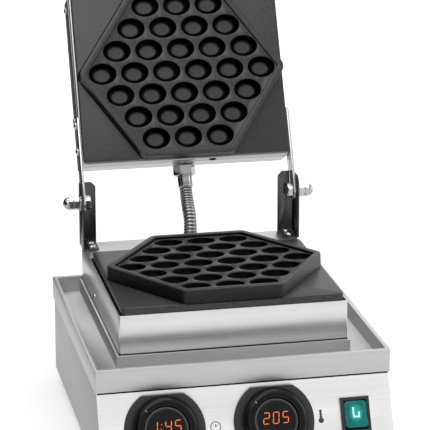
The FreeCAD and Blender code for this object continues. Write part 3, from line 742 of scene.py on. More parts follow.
def joined(parts: Iterable[BMesh]) -> BMesh:
    """Puts several meshes into one.

    Args:
        parts: the meshes, which are freed.

    Returns:
        The whole.
    """
    whole = bmesh.new()
    for part in parts:
        mesh = plain_mesh("part", part)
        whole.from_mesh(mesh)
        bpy.data.meshes.remove(mesh)
    return whole


def aimed(place: Vector, axis: Vector) -> Matrix:
    """Makes the frame at a place whose Z points along an axis."""
    return Matrix.Translation(place) @ Z_AXIS.rotation_difference(axis).to_matrix().to_4x4()


def joint(name: str) -> dict:
    """Looks up one of the machine's joints."""
    return next(entry for entry in frame["joints"] if entry["name"] == name)


def panel_frame(place: Vector) -> Matrix:
    """Makes the frame of a place on the slanted panel.

    Args:
        place: the origin, in metres.

    Returns:
        A frame with X across the panel, Y up along it and Z out of it.
    """
    out = Vector(joint("timer_turn")["axis"]).normalized()
    up = out.cross(X_AXIS).normalized()
    return Matrix.Translation(place) @ Matrix((X_AXIS, up, out)).transposed().to_4x4()


def pattern_tree(name: str, inputs: dict[str, str]) -> tuple[Tree, Mapping[str, Socket]]:
    """Starts a geometry tree.

    Args:
        name: its name.
        inputs: kinds of socket by name, besides the geometry and the material that every tree has.

    Returns:
        The tree and the sockets that bring in its inputs.
    """
    group = bpy.data.node_groups.new(name, "GeometryNodeTree")
    for label, kind in {"Geometry": "Geometry", **inputs, "Material": "Material"}.items():
        group.interface.new_socket(name=label, in_out="INPUT", socket_type="NodeSocket" + kind)
    group.interface.new_socket(name="Geometry", in_out="OUTPUT", socket_type="NodeSocketGeometry")
    tree = Tree(group)
    return tree, tree.add("NodeGroupInput").outputs


def finish_tree(tree: Tree, geometry: Socket, material: Socket) -> NodeTree:
    """Ends a geometry tree: instances made real, and the material set.

    Args:
        tree: the tree.
        geometry: what comes out of it.
        material: the material input.

    Returns:
        The finished tree.
    """
    real = tree.add("GeometryNodeRealizeInstances", {0: geometry}).outputs[0]
    painted = tree.add("GeometryNodeSetMaterial", {"Geometry": real, "Material": material}).outputs[0]
    tree.add("NodeGroupOutput", {"Geometry": painted})
    return tree.tree


def fit_tree(piece: Piece, group: NodeTree, values: dict[str, object]) -> None:
    """Puts a geometry tree on a piece.

    Args:
        piece: the object that carries the modifier.
        group: the tree.
        values: the tree's inputs by name.
    """
    modifier = piece.modifiers.new("pattern", "NODES")
    modifier.node_group = group
    for item in group.interface.items_tree:
        if item.item_type == "SOCKET" and item.in_out == "INPUT" and item.name in values:
            modifier[item.identifier] = values[item.name]


@dataclass
class Hinge:
    """The lid's hinge, and the turn from the closed lid to the open one."""

    place: Vector = field(default_factory=lambda: Vector(joint("lid_hinge")["pos_m"]))
    open_angle: float = field(default_factory=lambda: math.radians(joint("lid_hinge")["range_deg"][1]))

    def opened(self) -> Matrix:
        """Gives the matrix that opens what is made closed."""
        turn = Matrix.Rotation(-self.open_angle, 4, "X")
        return Matrix.Translation(self.place) @ turn @ Matrix.Translation(-self.place)

    def closed_box(self, node: str) -> tuple[Vector, Vector]:
        """Gives the box of one of the lid's nodes with the lid closed.

        Args:
            node: the node.

        Returns:
            Its low and its high corner.
        """
        turn = self.opened().inverted()
        points = [turn @ v.co for v in frame["nodes"][node].data.vertices]
        return tuple(Vector(pick(p[i] for p in points) for i in range(3)) for pick in (min, max))

    def closed(self, x: float, behind: float, above: float) -> Vector:
        """Gives a point of the closed lid from millimetres behind and above the hinge."""
        return self.place + Vector((x, behind, above)) * MM


@dataclass
class EggPlates:
    """The two cast plates with their hexagons and oval cups, sizes in millimetres.

    A profile's third number says how much painted shade its points get.
    """

    width: float = 213.4
    depth: float = 176.0
    flange: float = 8.7
    flange_foot: Profile = ((0.7, 0.0), (0.0, 0.7))
    flange_edge: Profile = ((0.0, -0.8), (0.25, -0.25), (0.8, 0.0))
    boss: float = 13.5
    # Third numbers paint shade into the crease at the boss's foot, down its sides and at the border's step.
    boss_foot: DarkProfile = ((-0.6, -0.4, 1.0), (0.0, 0.9, 0.75))
    boss_edge: DarkProfile = ((0.5, -1.0, 0.5), (0.8, -0.3, 0.2), (1.5, 0.0, 0.0))
    border_edge: DarkProfile = ((-0.9, 0.0, 0.0), (-0.2, -0.3, 0.3), (0.1, -1.0, 1.0))
    border_foot: DarkProfile = ((0.2, 0.02, 1.0), (0.25, 0.0, 0.0))
    corner: float = 4.0
    hexagon_half_width: float = 108.4
    hexagon_half_edge: float = 47.5
    hexagon_corner: float = 10.0
    least_corner: float = 2.0
    border: float = 7.4
    bed_drop: float = 2.6
    pitch: float = 33.0
    row_pitch: float = 23.0
    rows: int = 7
    longest_row: int = 6
    cup_length: float = 29.2
    cup_width: float = 22.5
    cup_facets: int = 44
    corner_facets: int = 6
    # Third numbers: painted shade, full on the cup's walls and none on its floor.
    cup_profile: DarkProfile = (
        (1.0, 0.0, 0.0), (0.985, -0.12, 0.1), (0.97, -0.5, 0.6), (0.955, -1.2, 1.0), (0.925, -2.6, 1.0),
        (0.885, -4.6, 1.0), (0.81, -6.3, 1.0), (0.71, -7.8, 1.0), (0.61, -8.65, 1.0), (0.53, -8.92, 0.5),
        (0.45, -8.98, 0.0), (0.22, -9.0, 0.0), (0.0, -9.0, 0.0),
    )

    def cup(self) -> BMesh:
        """Builds one oval cup, open at its rim, with its faces up and painted shade on its walls.

        Returns:
            The cup, with its rim at level zero.
        """
        bm = bmesh.new()
        bm.verts.layers.float.new(PAINTED_SHADE)
        loops = []
        for share, level, dark in self.cup_profile:
            ring = circle(share / 2, self.cup_facets if share else 1)
            loops.append(loop(bm, [(x * self.cup_length, y * self.cup_width) for x, y in ring], level, dark))
        loft(bm, loops)
        return bm

    def row_tree(self) -> NodeTree:
        """Builds the geometry tree that sets the cups out in rows that grow and shrink by one.

        Returns:
            A tree with the pitches, the row count and the cup as its inputs.
        """
        tree, given = pattern_tree(
            "cup_rows",
            {"Cup": "Object", "Pitch": "Float", "Row Pitch": "Float", "Rows": "Int", "Longest Row": "Int"},
        )
        longest, rows = given["Longest Row"], given["Rows"]
        index = tree.add("GeometryNodeInputIndex").outputs[0]
        column = tree.math(Blend.MODULO, index, longest)
        row = tree.math(Blend.FLOOR, tree.math(Blend.DIVIDE, index, longest))
        middle = tree.math(Blend.DIVIDE, tree.math(Blend.SUBTRACT, rows, 1.0), 2.0)
        step = tree.math(Blend.SUBTRACT, row, middle)
        count = tree.math(Blend.SUBTRACT, longest, tree.math(Blend.ABSOLUTE, step))
        half = tree.math(Blend.DIVIDE, tree.math(Blend.SUBTRACT, count, 1.0), 2.0)
        across = tree.math(Blend.MULTIPLY, tree.math(Blend.SUBTRACT, column, half), given["Pitch"])
        along = tree.math(Blend.MULTIPLY, step, given["Row Pitch"])
        place = tree.add("ShaderNodeCombineXYZ", {"X": across, "Y": along}).outputs[0]
        total = tree.math(Blend.MULTIPLY, longest, rows)
        points = tree.add("GeometryNodePoints", {"Count": total, "Position": place}).outputs[0]
        over = tree.math(Blend.GREATER, column, tree.math(Blend.SUBTRACT, count, 0.5))
        marks = {"Geometry": points, "Name": "spare", "Value": over}
        marked = tree.add("GeometryNodeStoreNamedAttribute", marks, data_type="BOOLEAN").outputs[0]
        spare = tree.add("GeometryNodeInputNamedAttribute", {"Name": "spare"}, data_type="BOOLEAN")
        dropped = {"Geometry": marked, "Selection": spare.outputs["Attribute"]}
        kept = tree.add("GeometryNodeDeleteGeometry", dropped).outputs[0]
        cup = tree.add("GeometryNodeObjectInfo", {"Object": given["Cup"]}).outputs["Geometry"]
        cups = tree.add("GeometryNodeInstanceOnPoints", {"Points": kept, "Instance": cup}).outputs[0]
        return finish_tree(tree, cups, given["Material"])

    def cups(self) -> bpy.types.Mesh:
        """Makes the thirty cups.

        Returns:
            One mesh, with the bed at level zero.
        """
        pattern = mesh_object("cup_pattern", self.cup(), COATING, 60.0)
        holder = mesh_object("cup_rows", bmesh.new(), COATING)
        values = {
            "Cup": pattern, "Pitch": self.pitch * MM, "Row Pitch": self.row_pitch * MM, "Rows": self.rows,
            "Longest Row": self.longest_row, "Material": COATING.build(),
        }
        fit_tree(holder, self.row_tree(), values)
        mesh = evaluated_mesh(holder)
        for spent in (pattern, holder):
            bpy.data.objects.remove(spent)
        return mesh

    def hexagon(self, inset: float) -> list[Point]:
        """Gives the hexagon's outline with rounded corners.

        Args:
            inset: how far inside the outer outline it lies, in millimetres.

        Returns:
            Its points, anticlockwise.
        """
        tip, edge, half = self.hexagon_half_width, self.hexagon_half_edge, self.depth / 2
        tips = ((tip, 0), (edge, half), (-edge, half), (-tip, 0), (-edge, -half), (edge, -half))
        corners = [Vector(corner) for corner in tips]
        radius = max(self.hexagon_corner - inset, self.least_corner)
        outline: list[Point] = []
        for i, corner in enumerate(corners):
            before = (corners[i - 1] - corner).normalized()
            after = (corners[(i + 1) % len(corners)] - corner).normalized()
            half_angle = before.angle(after) / 2
            inward = (before + after).normalized()
            centre = corner + inward * (inset + radius) / math.sin(half_angle)
            sweep = math.pi / 2 - half_angle
            middle = math.atan2(-inward.y, -inward.x)
            for k in range(self.corner_facets + 1):
                angle = middle + sweep * (2 * k / self.corner_facets - 1)
                outline.append((centre.x + radius * math.cos(angle), centre.y + radius * math.sin(angle)))
        return outline

    def boss_mesh(self) -> BMesh:
        """Builds the raised hexagon with its border, bed and cups, from the flange's face up.

        Returns:
            Its mesh, with the plate's back at level zero.
        """
        bm = bmesh.new()
        bm.from_mesh(self.cups())
        face = self.flange + self.boss
        bed = face - self.bed_drop
        bmesh.ops.translate(bm, verts=bm.verts, vec=(0, 0, bed * MM))
        steps = (
            (0.0, self.flange, self.boss_foot), (0.0, face, self.boss_edge),
            (self.border, face, self.border_edge), (self.border, bed, self.border_foot),
        )
        rings = [(x + inset, z + rise, dark) for x, z, profile in steps for inset, rise, dark in profile]
        loft(bm, [loop(bm, self.hexagon(inset), level, dark) for inset, level, dark in rings])
        rims = [e for e in bm.edges if e.is_boundary and all(abs(v.co.z - bed * MM) < TOUCHING for v in e.verts)]
        filled = bmesh.ops.triangle_fill(bm, edges=rims, use_beauty=True, normal=(0, 0, 1))
        for piece in filled["geom"]:
            if isinstance(piece, bmesh.types.BMFace) and piece.normal.z < 0:
                piece.normal_flip()
        return bm

    def flange_mesh(self) -> BMesh:
        """Builds the flat flange with rounded corners and edges.

        Returns:
            Its mesh, with the plate's back at level zero.
        """
        bm = bmesh.new()
        loops = []
        for inset, level in (*self.flange_foot, *shifted(self.flange_edge, 0.0, self.flange)):
            outline = rounded_box(self.width / 2, self.depth / 2, self.corner, self.corner_facets, inset)
            loops.append(loop(bm, outline, level))
        loft(bm, loops, (True, True))
        return bm

    def build(self, hinge: Hinge) -> None:
        """Builds both plates.

        Args:
            hinge: opens the upper one.
        """
        low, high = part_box("lower_plate")
        middle_y = (low.y + high.y) / 2
        lower = Matrix.Translation(Vector((0, middle_y, low.z)))
        back = hinge.closed_box("upper_plate")[1].z
        upper = hinge.opened() @ Matrix.Translation(Vector((0, middle_y, back))) @ Matrix.Scale(-1, 4, Z_AXIS)
        for level, body, place in (("lower", Body.BASE, lower), ("upper", Body.LID, upper)):
            bm = joined([self.flange_mesh(), self.boss_mesh()])
            bm.transform(place)
            if place.determinant() < 0:
                bmesh.ops.reverse_faces(bm, faces=bm.faces)
            add_piece(level + "_egg_plate", [bm], COATING, body, level + "_plate", smooth=35.0)


@dataclass
class ScrewSet:
    """Domed screws of one size with a hexagonal socket, set out by a geometry tree, in millimetres."""

    name: str
    body: Body
    head: float
    height: float
    places: Places
    facets: int = 24
    socket: float = 0.42
    dome: Profile = ((1.0, 0.0), (1.0, 0.2), (0.92, 0.55), (0.74, 0.86), (0.55, 1.0))
    socket_wall: Profile = ((1.0, 1.0), (0.96, 0.35))

    def screw(self) -> BMesh:
        """Builds one screw.

        Returns:
            Its head, standing at the origin.
        """
        bm = bmesh.new()
        loops = []
        for reach, six, profile in ((self.head, False, self.dome), (self.head * self.socket, True, self.socket_wall)):
            for share, rise in profile:
                loops.append(loop(bm, circle(reach * share, self.facets, six), self.height * rise))
        loft(bm, loops, (True, True))
        return bm

    def tree(self) -> NodeTree:
        """Builds the tree that stands a screw on each point along its facing.

        Returns:
            The tree, made once for all sets.
        """
        made = bpy.data.node_groups.get("screw_places")
        if made:
            return made
        tree, given = pattern_tree("screw_places", {"Screw": "Object", "Size": "Float"})
        facing = tree.add("GeometryNodeInputNamedAttribute", {"Name": "facing"}, data_type="FLOAT_VECTOR")
        turn = tree.add("FunctionNodeAlignRotationToVector", {"Vector": facing.outputs["Attribute"]}, axis="Z")
        screw = tree.add("GeometryNodeObjectInfo", {"Object": given["Screw"]}).outputs["Geometry"]
        inputs = {"Points": given["Geometry"], "Instance": screw, "Rotation": turn.outputs[0], "Scale": given["Size"]}
        return finish_tree(tree, tree.add("GeometryNodeInstanceOnPoints", inputs).outputs[0], given["Material"])

    def build(self) -> None:
        """Builds the set as one piece."""
        points = bmesh.new()
        for place, _ in self.places:
            points.verts.new(place)
        holder = mesh_object(self.name, points, NUT)
        facing = holder.data.attributes.new("facing", "FLOAT_VECTOR", "POINT")
        facing.data.foreach_set("vector", [c for _, axis in self.places for c in axis])
        pattern = mesh_object("screw_pattern", self.screw(), NUT)
        fit_tree(holder, self.tree(), {"Screw": pattern, "Size": 1.0, "Material": NUT.build()})
        applied(holder)
        bpy.data.objects.remove(pattern)
        settle(holder, self.body, NUT)


@dataclass
class Conduit:
    """The ribbed steel hose between deck and lid, sizes in millimetres."""

    crest: float = 6.9
    valley: float = 5.7
    pitch: float = 3.1
    facets: int = 32
    steps_per_rib: int = 10
    low_run: float = 24.5
    top_run: float = 25.0
    arc_share: float = 0.45
    end_share: float = 0.15
    hidden_end: float = 2.0
    rib_sharpness: float = 0.55
    curve_steps: int = 24

    def route(self, hinge: Hinge) -> list[Vector]:
        """Gives the corners of the hose's way.

        Args:
            hinge: opens the lid's end.

        Returns:
            Four places from the deck to the lid's gland, in metres.
        """
        low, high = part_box("deck_gland")
        start = Vector((0, (low.y + high.y) / 2, low.z + self.hidden_end * MM))
        low, high = hinge.closed_box("lid_gland")
        ferrule = hinge.opened() @ Vector((0, low.y + Glands.nut * MM, (low.z + high.z) / 2))
        out = (hinge.opened().to_3x3() @ Y_AXIS).normalized()
        bend = start + Z_AXIS * (self.low_run - self.hidden_end) * MM
        return [start, bend, ferrule + out * self.top_run * MM, ferrule + out * self.hidden_end * MM]

    def curve(self, corners: list[Vector]) -> Piece:
        """Draws the way as straight runs and round bends on a Bezier curve.

        Args:
            corners: where it starts, bends and ends, in metres.

        Returns:
            The curve's object.
        """
        knots: list[tuple[Vector, Vector, Vector]] = []
        for i, corner in enumerate(corners):
            if i in (0, len(corners) - 1):
                way = 1 if i == 0 else -1
                reach = (corners[i + way] - corner) * self.end_share * way
                knots.append((corner, corner - reach, corner + reach))
                continue
            before, after = corners[i - 1] - corner, corners[i + 1] - corner
            trim = self.arc_share * min(before.length, after.length)
            bend = math.pi - before.angle(after)
            radius = trim / math.tan(bend / 2)
            handle = radius * ROUND_ARC * math.tan(bend / 4)
            for way, sign in ((before.normalized(), 1), (after.normalized(), -1)):
                knot = corner + way * trim
                knots.append((knot, knot + way * handle * sign, knot - way * handle * sign))
        curve = bpy.data.curves.new("conduit_way", "CURVE")
        curve.dimensions = "3D"
        spline = curve.splines.new("BEZIER")
        spline.bezier_points.add(len(knots) - 1)
        spline.resolution_u = self.curve_steps
        for point, (place, left, right) in zip(spline.bezier_points, knots):
            point.co, point.handle_left, point.handle_right = place, left, right
        return placed("conduit_hose", curve)

    def tree(self) -> NodeTree:
        """Builds the tree that winds ribs along the hose's way.

        Returns:
            The tree, with the rib's pitch and both radii as inputs.
        """
        tree, given = pattern_tree(
            "hose_ribs", {"Pitch": "Float", "Crest": "Float", "Valley": "Float", "Steps": "Float", "Facets": "Int"}
        )
        step = tree.math(Blend.DIVIDE, given["Pitch"], given["Steps"])
        spaced = tree.add("GeometryNodeResampleCurve", {"Curve": given["Geometry"], "Length": step}, mode="LENGTH")
        along = tree.add("GeometryNodeSplineParameter").outputs["Length"]
        turns = tree.math(Blend.DIVIDE, tree.math(Blend.MULTIPLY, along, math.pi), given["Pitch"])
        swing = tree.math(Blend.ABSOLUTE, tree.math(Blend.SINE, turns))
        wave = tree.math(Blend.POWER, swing, self.rib_sharpness)
        rise = tree.math(Blend.SUBTRACT, given["Crest"], given["Valley"])
        radius = tree.math(Blend.ADD, given["Valley"], tree.math(Blend.MULTIPLY, wave, rise))
        # Painted shade in the valleys between the ribs.
        marks = {"Geometry": spaced.outputs[0], "Name": PAINTED_SHADE, "Value": tree.math(Blend.SUBTRACT, 1.0, wave)}
        marked = tree.add("GeometryNodeStoreNamedAttribute", marks, data_type="FLOAT").outputs[0]
        ring = tree.add("GeometryNodeCurvePrimitiveCircle", {"Radius": 1.0, "Resolution": given["Facets"]}).outputs[0]
        shape = {"Curve": marked, "Profile Curve": ring, "Scale": radius, "Fill Caps": True}
        return finish_tree(tree, tree.add("GeometryNodeCurveToMesh", shape).outputs[0], given["Material"])

    def build(self, hinge: Hinge) -> None:
        """Builds the hose, bending between the deck and the lid.

        Args:
            hinge: where the lid turns.
        """
        corners = self.route(hinge)
        way = self.curve(corners)
        values = {
            "Pitch": self.pitch * MM, "Crest": self.crest * MM, "Valley": self.valley * MM,
            "Steps": float(self.steps_per_rib), "Facets": self.facets, "Material": HOSE.build(),
        }
        fit_tree(way, self.tree(), values)
        hose = mesh_object("ribbed_conduit", bmesh.new(), HOSE)
        hose.data = evaluated_mesh(way)
        bpy.data.objects.remove(way)
        for polygon in hose.data.polygons:
            polygon.use_smooth = True
        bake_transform(hose, Body.BASE.value, Body.LID.value, corners[0], corners[-1])
        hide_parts("conduit")
        log.info("%s blends from base to lid", hose.name)


@dataclass
class Glands:
    """The nuts that hold the hose's ends, in millimetres."""

    flats: float = 20.0
    flange: float = 1.8
    flange_radius: float = 11.3
    nut: float = 13.0
    ferrule: float = 12.0
    ferrule_radius: float = 7.6
    flange_edge: float = 0.3
    overlap: float = 0.5
    ferrule_edge: Profile = ((0.0, -0.6), (-0.5, 0.0))
    grooves: tuple[float, ...] = (1.2, 7.6, 9.2)
    groove: Profile = ((0.0, 0.0), (-0.45, 0.25), (-0.45, 0.55), (0.0, 0.8))
    bore: float = 5.85
    turns: int = 48
    deck_nut: float = 6.0
    plug_x: float = 28.0
    plug_turns: int = 32
    plug_radius: float = 3.7
    plug_height: float = 1.1
    plug_shape: Profile = ((0.0, 0.0), (0.0, 0.5), (-0.4, 0.9), (-1.0, 1.0), (-1.5, 0.9), (-1.7, 0.4))
    plug_middle: float = 0.35

    def lid_shape(self) -> BMesh:
        """Builds flange, nut and grooved ferrule.

        Returns:
            Their mesh, along local Z from the lid's wall.
        """
        end, start, r, b = self.nut + self.ferrule, self.nut - self.overlap, self.ferrule_radius, self.bore
        wide, top, edge = self.flange_radius, self.flange, self.flange_edge
        flange = [(b, 0.0), (wide, 0.0), (wide, top - edge), (wide - edge, top), (b, top), (b, 0.0)]
        sleeve = [(b, start), (r, start)]
        for level in self.grooves:
            sleeve += shifted(self.groove, r, self.nut + level)
        sleeve += [*shifted(self.ferrule_edge, r, end), (b, end), (b, start)]
        nut = HexNut(self.flats, self.nut - top, bore=b).build(Matrix.Translation(Z_AXIS * top * MM))
        return joined([lathe(flange, self.turns), nut, lathe(sleeve, self.turns)])

    def build(self, hinge: Hinge) -> None:
        """Builds both glands and the small plug in the lid's rear wall.

        Args:
            hinge: opens what sits on the lid.
        """
        low, high = hinge.closed_box("lid_gland")
        bm = self.lid_shape()
        bm.transform(hinge.opened() @ aimed(Vector((0, low.y, (low.z + high.z) / 2)), Y_AXIS))
        add_piece("lid_gland_nut", [bm], GLAND, Body.LID, "lid_gland")
        low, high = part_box("deck_gland")
        seat = Matrix.Translation(Vector((0, (low.y + high.y) / 2, low.z)))
        bm = HexNut(self.flats, self.deck_nut, low_turned=False, bore=self.bore).build(seat)
        add_piece("deck_gland_nut", [bm], GLAND, Body.BASE, "deck_gland")
        low, high = hinge.closed_box("lid_frame")
        wall = Vector((self.plug_x * MM, high.y, (low.z + high.z) / 2))
        r, h = self.plug_radius, self.plug_height
        profile = [(r + inset, h * rise) for inset, rise in self.plug_shape]
        profile = [(0.0, 0.0), *profile, (0.0, h * self.plug_middle)]
        plug = lathe(profile, self.plug_turns, hinge.opened() @ aimed(wall, Y_AXIS))
        add_piece("lid_wall_plug", [plug], PLUG_AND_SHADOW_BLACK, Body.LID)


@dataclass
class Control:
    """A control on the slanted panel: collar, turning ring, window and lit digits, in millimetres.

    Edges are given as steps from the outer radius and the top of what they belong to.
    """

    name: str
    spin: str
    body: Body
    text: str
    turns: int = 96
    hub_turns: int = 72
    collar_radius: float = 38.0
    collar_flat: float = 32.3
    collar_height: float = 4.0
    collar_foot: float = 0.05
    collar_floor: float = 2.0
    collar_edge: Profile = ((0.0, -1.6), (-0.5, -0.7), (-1.4, -0.2), (-2.6, 0.0))
    seat_edge: Profile = ((1.6, 0.0), (0.4, -0.3), (0.0, -1.0))
    seat_gap: float = 0.9
    ring_gap: float = 0.3
    ring_outer: float = 29.6
    ring_inner: float = 21.4
    ring_height: float = 13.0
    ring_edge: Profile = ((0.0, -5.4), (-0.3, -3.6), (-1.0, -2.0), (-2.0, -0.8), (-3.2, -0.15), (-4.2, 0.0))
    ring_groove: Profile = ((0.0, 0.0), (-0.2, -0.35), (-0.4, -0.35), (-0.6, 0.0))
    groove_insets: tuple[float, float] = (4.6, 2.2)
    ring_inner_edge: Profile = ((1.0, 0.0), (0.35, -0.25), (0.0, -0.8))
    mark_half: tuple[float, float] = (0.3, 1.0)
    mark_sunk: float = 0.05
    mark_proud: float = 0.04
    mark_turn: float = 45.0
    hub_radius: float = 20.9
    hub_height: float = 11.0
    hub_edge: Profile = ((0.0, -0.8), (-0.3, -0.2), (-0.8, 0.0), (-2.4, -0.1), (-3.0, -0.8), (-3.2, -1.2))
    hub_middle: float = -1.3
    hub_lap: float = 1.0
    rim_inset: float = 0.9
    rim_width: float = 0.55
    rim_depth: float = 0.3
    rim_crown: Profile = ((0.0, 0.02), (-0.5, 0.1), (-1.0, 0.02))
    window_inset: float = 2.8
    window_dome: Profile = ((1.0, -1.9), (1.0, -0.75), (0.98, -0.62), (0.8, -0.5), (0.5, -0.42), (0.0, -0.38))
    digit_height: float = 10.2
    digit_width: float = 5.2
    digit_pitch: float = 9.1
    digit_levels: tuple[float, float] = (-0.6, -0.3)
    colon_share: float = 0.42
    colon_dot: float = 0.6
    colon_level: float = 2.04
    colon_facets: int = 8
    stroke: float = 0.85
    stroke_gap: float = 0.8
    slant: float = 0.1
    lift: float = 2.6

    def place(self) -> Matrix:
        """Gives the control's frame: X across the panel, Y up along it, Z out of it."""
        return panel_frame(Vector(joint(self.spin)["pos_m"]))

    def collar(self) -> BMesh:
        """Builds the collar with its flat top, and the hub.

        Returns:
            Their mesh, in place.
        """
        r, h, foot, floor = self.collar_radius, self.collar_height, self.collar_foot, self.collar_floor
        hub, top = self.hub_radius, self.hub_height
        profile = [(0.0, foot), (r, foot), *shifted(self.collar_edge, r, h)]
        profile += shifted(self.seat_edge, self.ring_outer + self.seat_gap, h)
        profile += [(self.ring_outer + self.seat_gap, floor), (hub - self.hub_lap, floor), (0.0, floor)]
        bm = lathe(profile, self.turns)
        cut = bmesh.ops.bisect_plane(
            bm, geom=bm.verts[:] + bm.edges[:] + bm.faces[:], plane_co=(0, self.collar_flat * MM, 0),
            plane_no=(0, 1, 0), clear_outer=True,
        )
        bmesh.ops.holes_fill(bm, edges=[e for e in cut["geom_cut"] if isinstance(e, bmesh.types.BMEdge)])
        profile = [(0.0, floor), (hub, floor), *shifted(self.hub_edge, hub, top), (0.0, top + self.hub_middle)]
        body = joined([bm, lathe(profile, self.hub_turns)])
        body.transform(self.place())
        return body

    def rim(self) -> BMesh:
        """Builds the thin pale ring round the hub's face, a painted highlight of its edge.

        Returns:
            Its mesh, in place.
        """
        r, top, w = self.hub_radius - self.rim_inset, self.hub_height, self.rim_width
        low = top - self.rim_depth
        crown = [(r + w * share, top + rise) for share, rise in self.rim_crown]
        return lathe([(r - w, low), (r, low), *crown, (r - w, low)], self.hub_turns, self.place())

    def ring(self) -> None:
        """Builds the turning ring, with fine grooves and a pale mark."""
        low = self.collar_height + self.ring_gap
        ro, ri, h = self.ring_outer, self.ring_inner, self.ring_height
        profile = [(ri, low), (ro, low), *shifted(self.ring_edge, ro, h)]
        for radius in (ro - self.groove_insets[0], ri + self.groove_insets[1]):
            profile += shifted(self.ring_groove, radius, h)
        profile += [*shifted(self.ring_inner_edge, ri, h), (ri, low)]
        ring = lathe(profile, self.turns, self.place())
        add_piece(self.name + "_turning_ring", [ring], KNOB, self.body, self.name + "_ring")
        x, y = self.mark_half
        mark = extruded(rectangle(-x, x, -y, y), h - self.mark_sunk, h + self.mark_proud)
        out = Matrix.Translation(Vector((0, (ro + ri) / 2 * MM, 0)))
        mark.transform(self.place() @ Matrix.Rotation(math.radians(self.mark_turn), 4, "Z") @ out)
        add_piece(self.name + "_ring_mark", [mark], MARK, self.body)

    def window(self) -> BMesh:
        """Builds the slightly domed smoked window.

        Returns:
            Its mesh, in place.
        """
        r, top = self.hub_radius - self.window_inset, self.hub_height
        dome = [(r * share, top + drop) for share, drop in self.window_dome]
        return lathe([(0.0, dome[0][1]), *dome], self.hub_turns, self.place())

    def digits(self) -> BMesh:
        """Builds the lit seven-segment figures.

        Returns:
            Their mesh, in place.
        """
        shapes = {"0": "abcdef", "1": "bc", "2": "abged", "4": "fgbc", "5": "afgcd"}
        parts = []
        advance = [self.digit_pitch * (self.colon_share if c == ":" else 1.0) for c in self.text]
        x = -sum(advance) / 2
        for character, step in zip(self.text, advance):
            middle = x + step / 2
            if character == ":":
                parts += [self.dot(middle, y) for y in (-self.colon_level, self.colon_level)]
            else:
                parts += [self.segment(letter, middle) for letter in shapes[character]]
            x += step
        bm = joined(parts)
        bm.transform(self.place())
        return bm

    def segment(self, letter: str, middle: float) -> BMesh:
        """Builds one bar of a figure.

        Args:
            letter: the bar, a to g from the top clockwise with g in the middle.
            middle: the figure's middle, in millimetres from the window's.

        Returns:
            The bar.
        """
        w, h, t = self.digit_width / 2, self.digit_height / 2, self.stroke
        lines = {
            "a": ((-w, h), (w, h)), "g": ((-w, 0), (w, 0)), "d": ((-w, -h), (w, -h)), "b": ((w, h), (w, 0)),
            "c": ((w, 0), (w, -h)), "e": ((-w, 0), (-w, -h)), "f": ((-w, h), (-w, 0)),
        }
        start, end = (Vector(point) for point in lines[letter])
        way = (end - start).normalized()
        side = Vector((-way.y, way.x)) * t / 2
        start, end = start + way * t * self.stroke_gap, end - way * t * self.stroke_gap
        outline = [start - way * t / 2, start - side, end - side, end + way * t / 2, end + side, start + side]
        return self.flat([(p.x + middle, p.y) for p in outline])

    def dot(self, middle: float, level: float) -> BMesh:
        """Builds one dot of the colon."""
        return self.flat(shifted(circle(self.stroke * self.colon_dot, self.colon_facets), middle, level))

    def flat(self, outline: list[Point]) -> BMesh:
        """Pushes a leaning outline just out of the window.

        Args:
            outline: its corners, upright, in millimetres from the window's middle.

        Returns:
            Its mesh.
        """
        low, high = (self.hub_height + level for level in self.digit_levels)
        return extruded([(x + self.slant * y, y + self.lift) for x, y in outline], low, high)


@dataclass
class ControlPair:
    """The two controls, whose fixed pieces are made together."""

    timer: Control
    temperature: Control

    def build(self) -> None:
        """Builds both controls."""
        both = (self.timer, self.temperature)
        add_piece("control_collars", [c.collar() for c in both], BLACK, Body.BASE, "control_bezels")
        add_piece("smoked_windows", [c.window() for c in both], SMOKED, Body.BASE, "display_windows")
        add_piece("display_rims", [c.rim() for c in both], PAINTED_HIGHLIGHT_RIM, Body.BASE)
        add_piece("lit_figures", [c.digits() for c in both], DIGIT, Body.BASE)
        for control in both:
            control.ring()


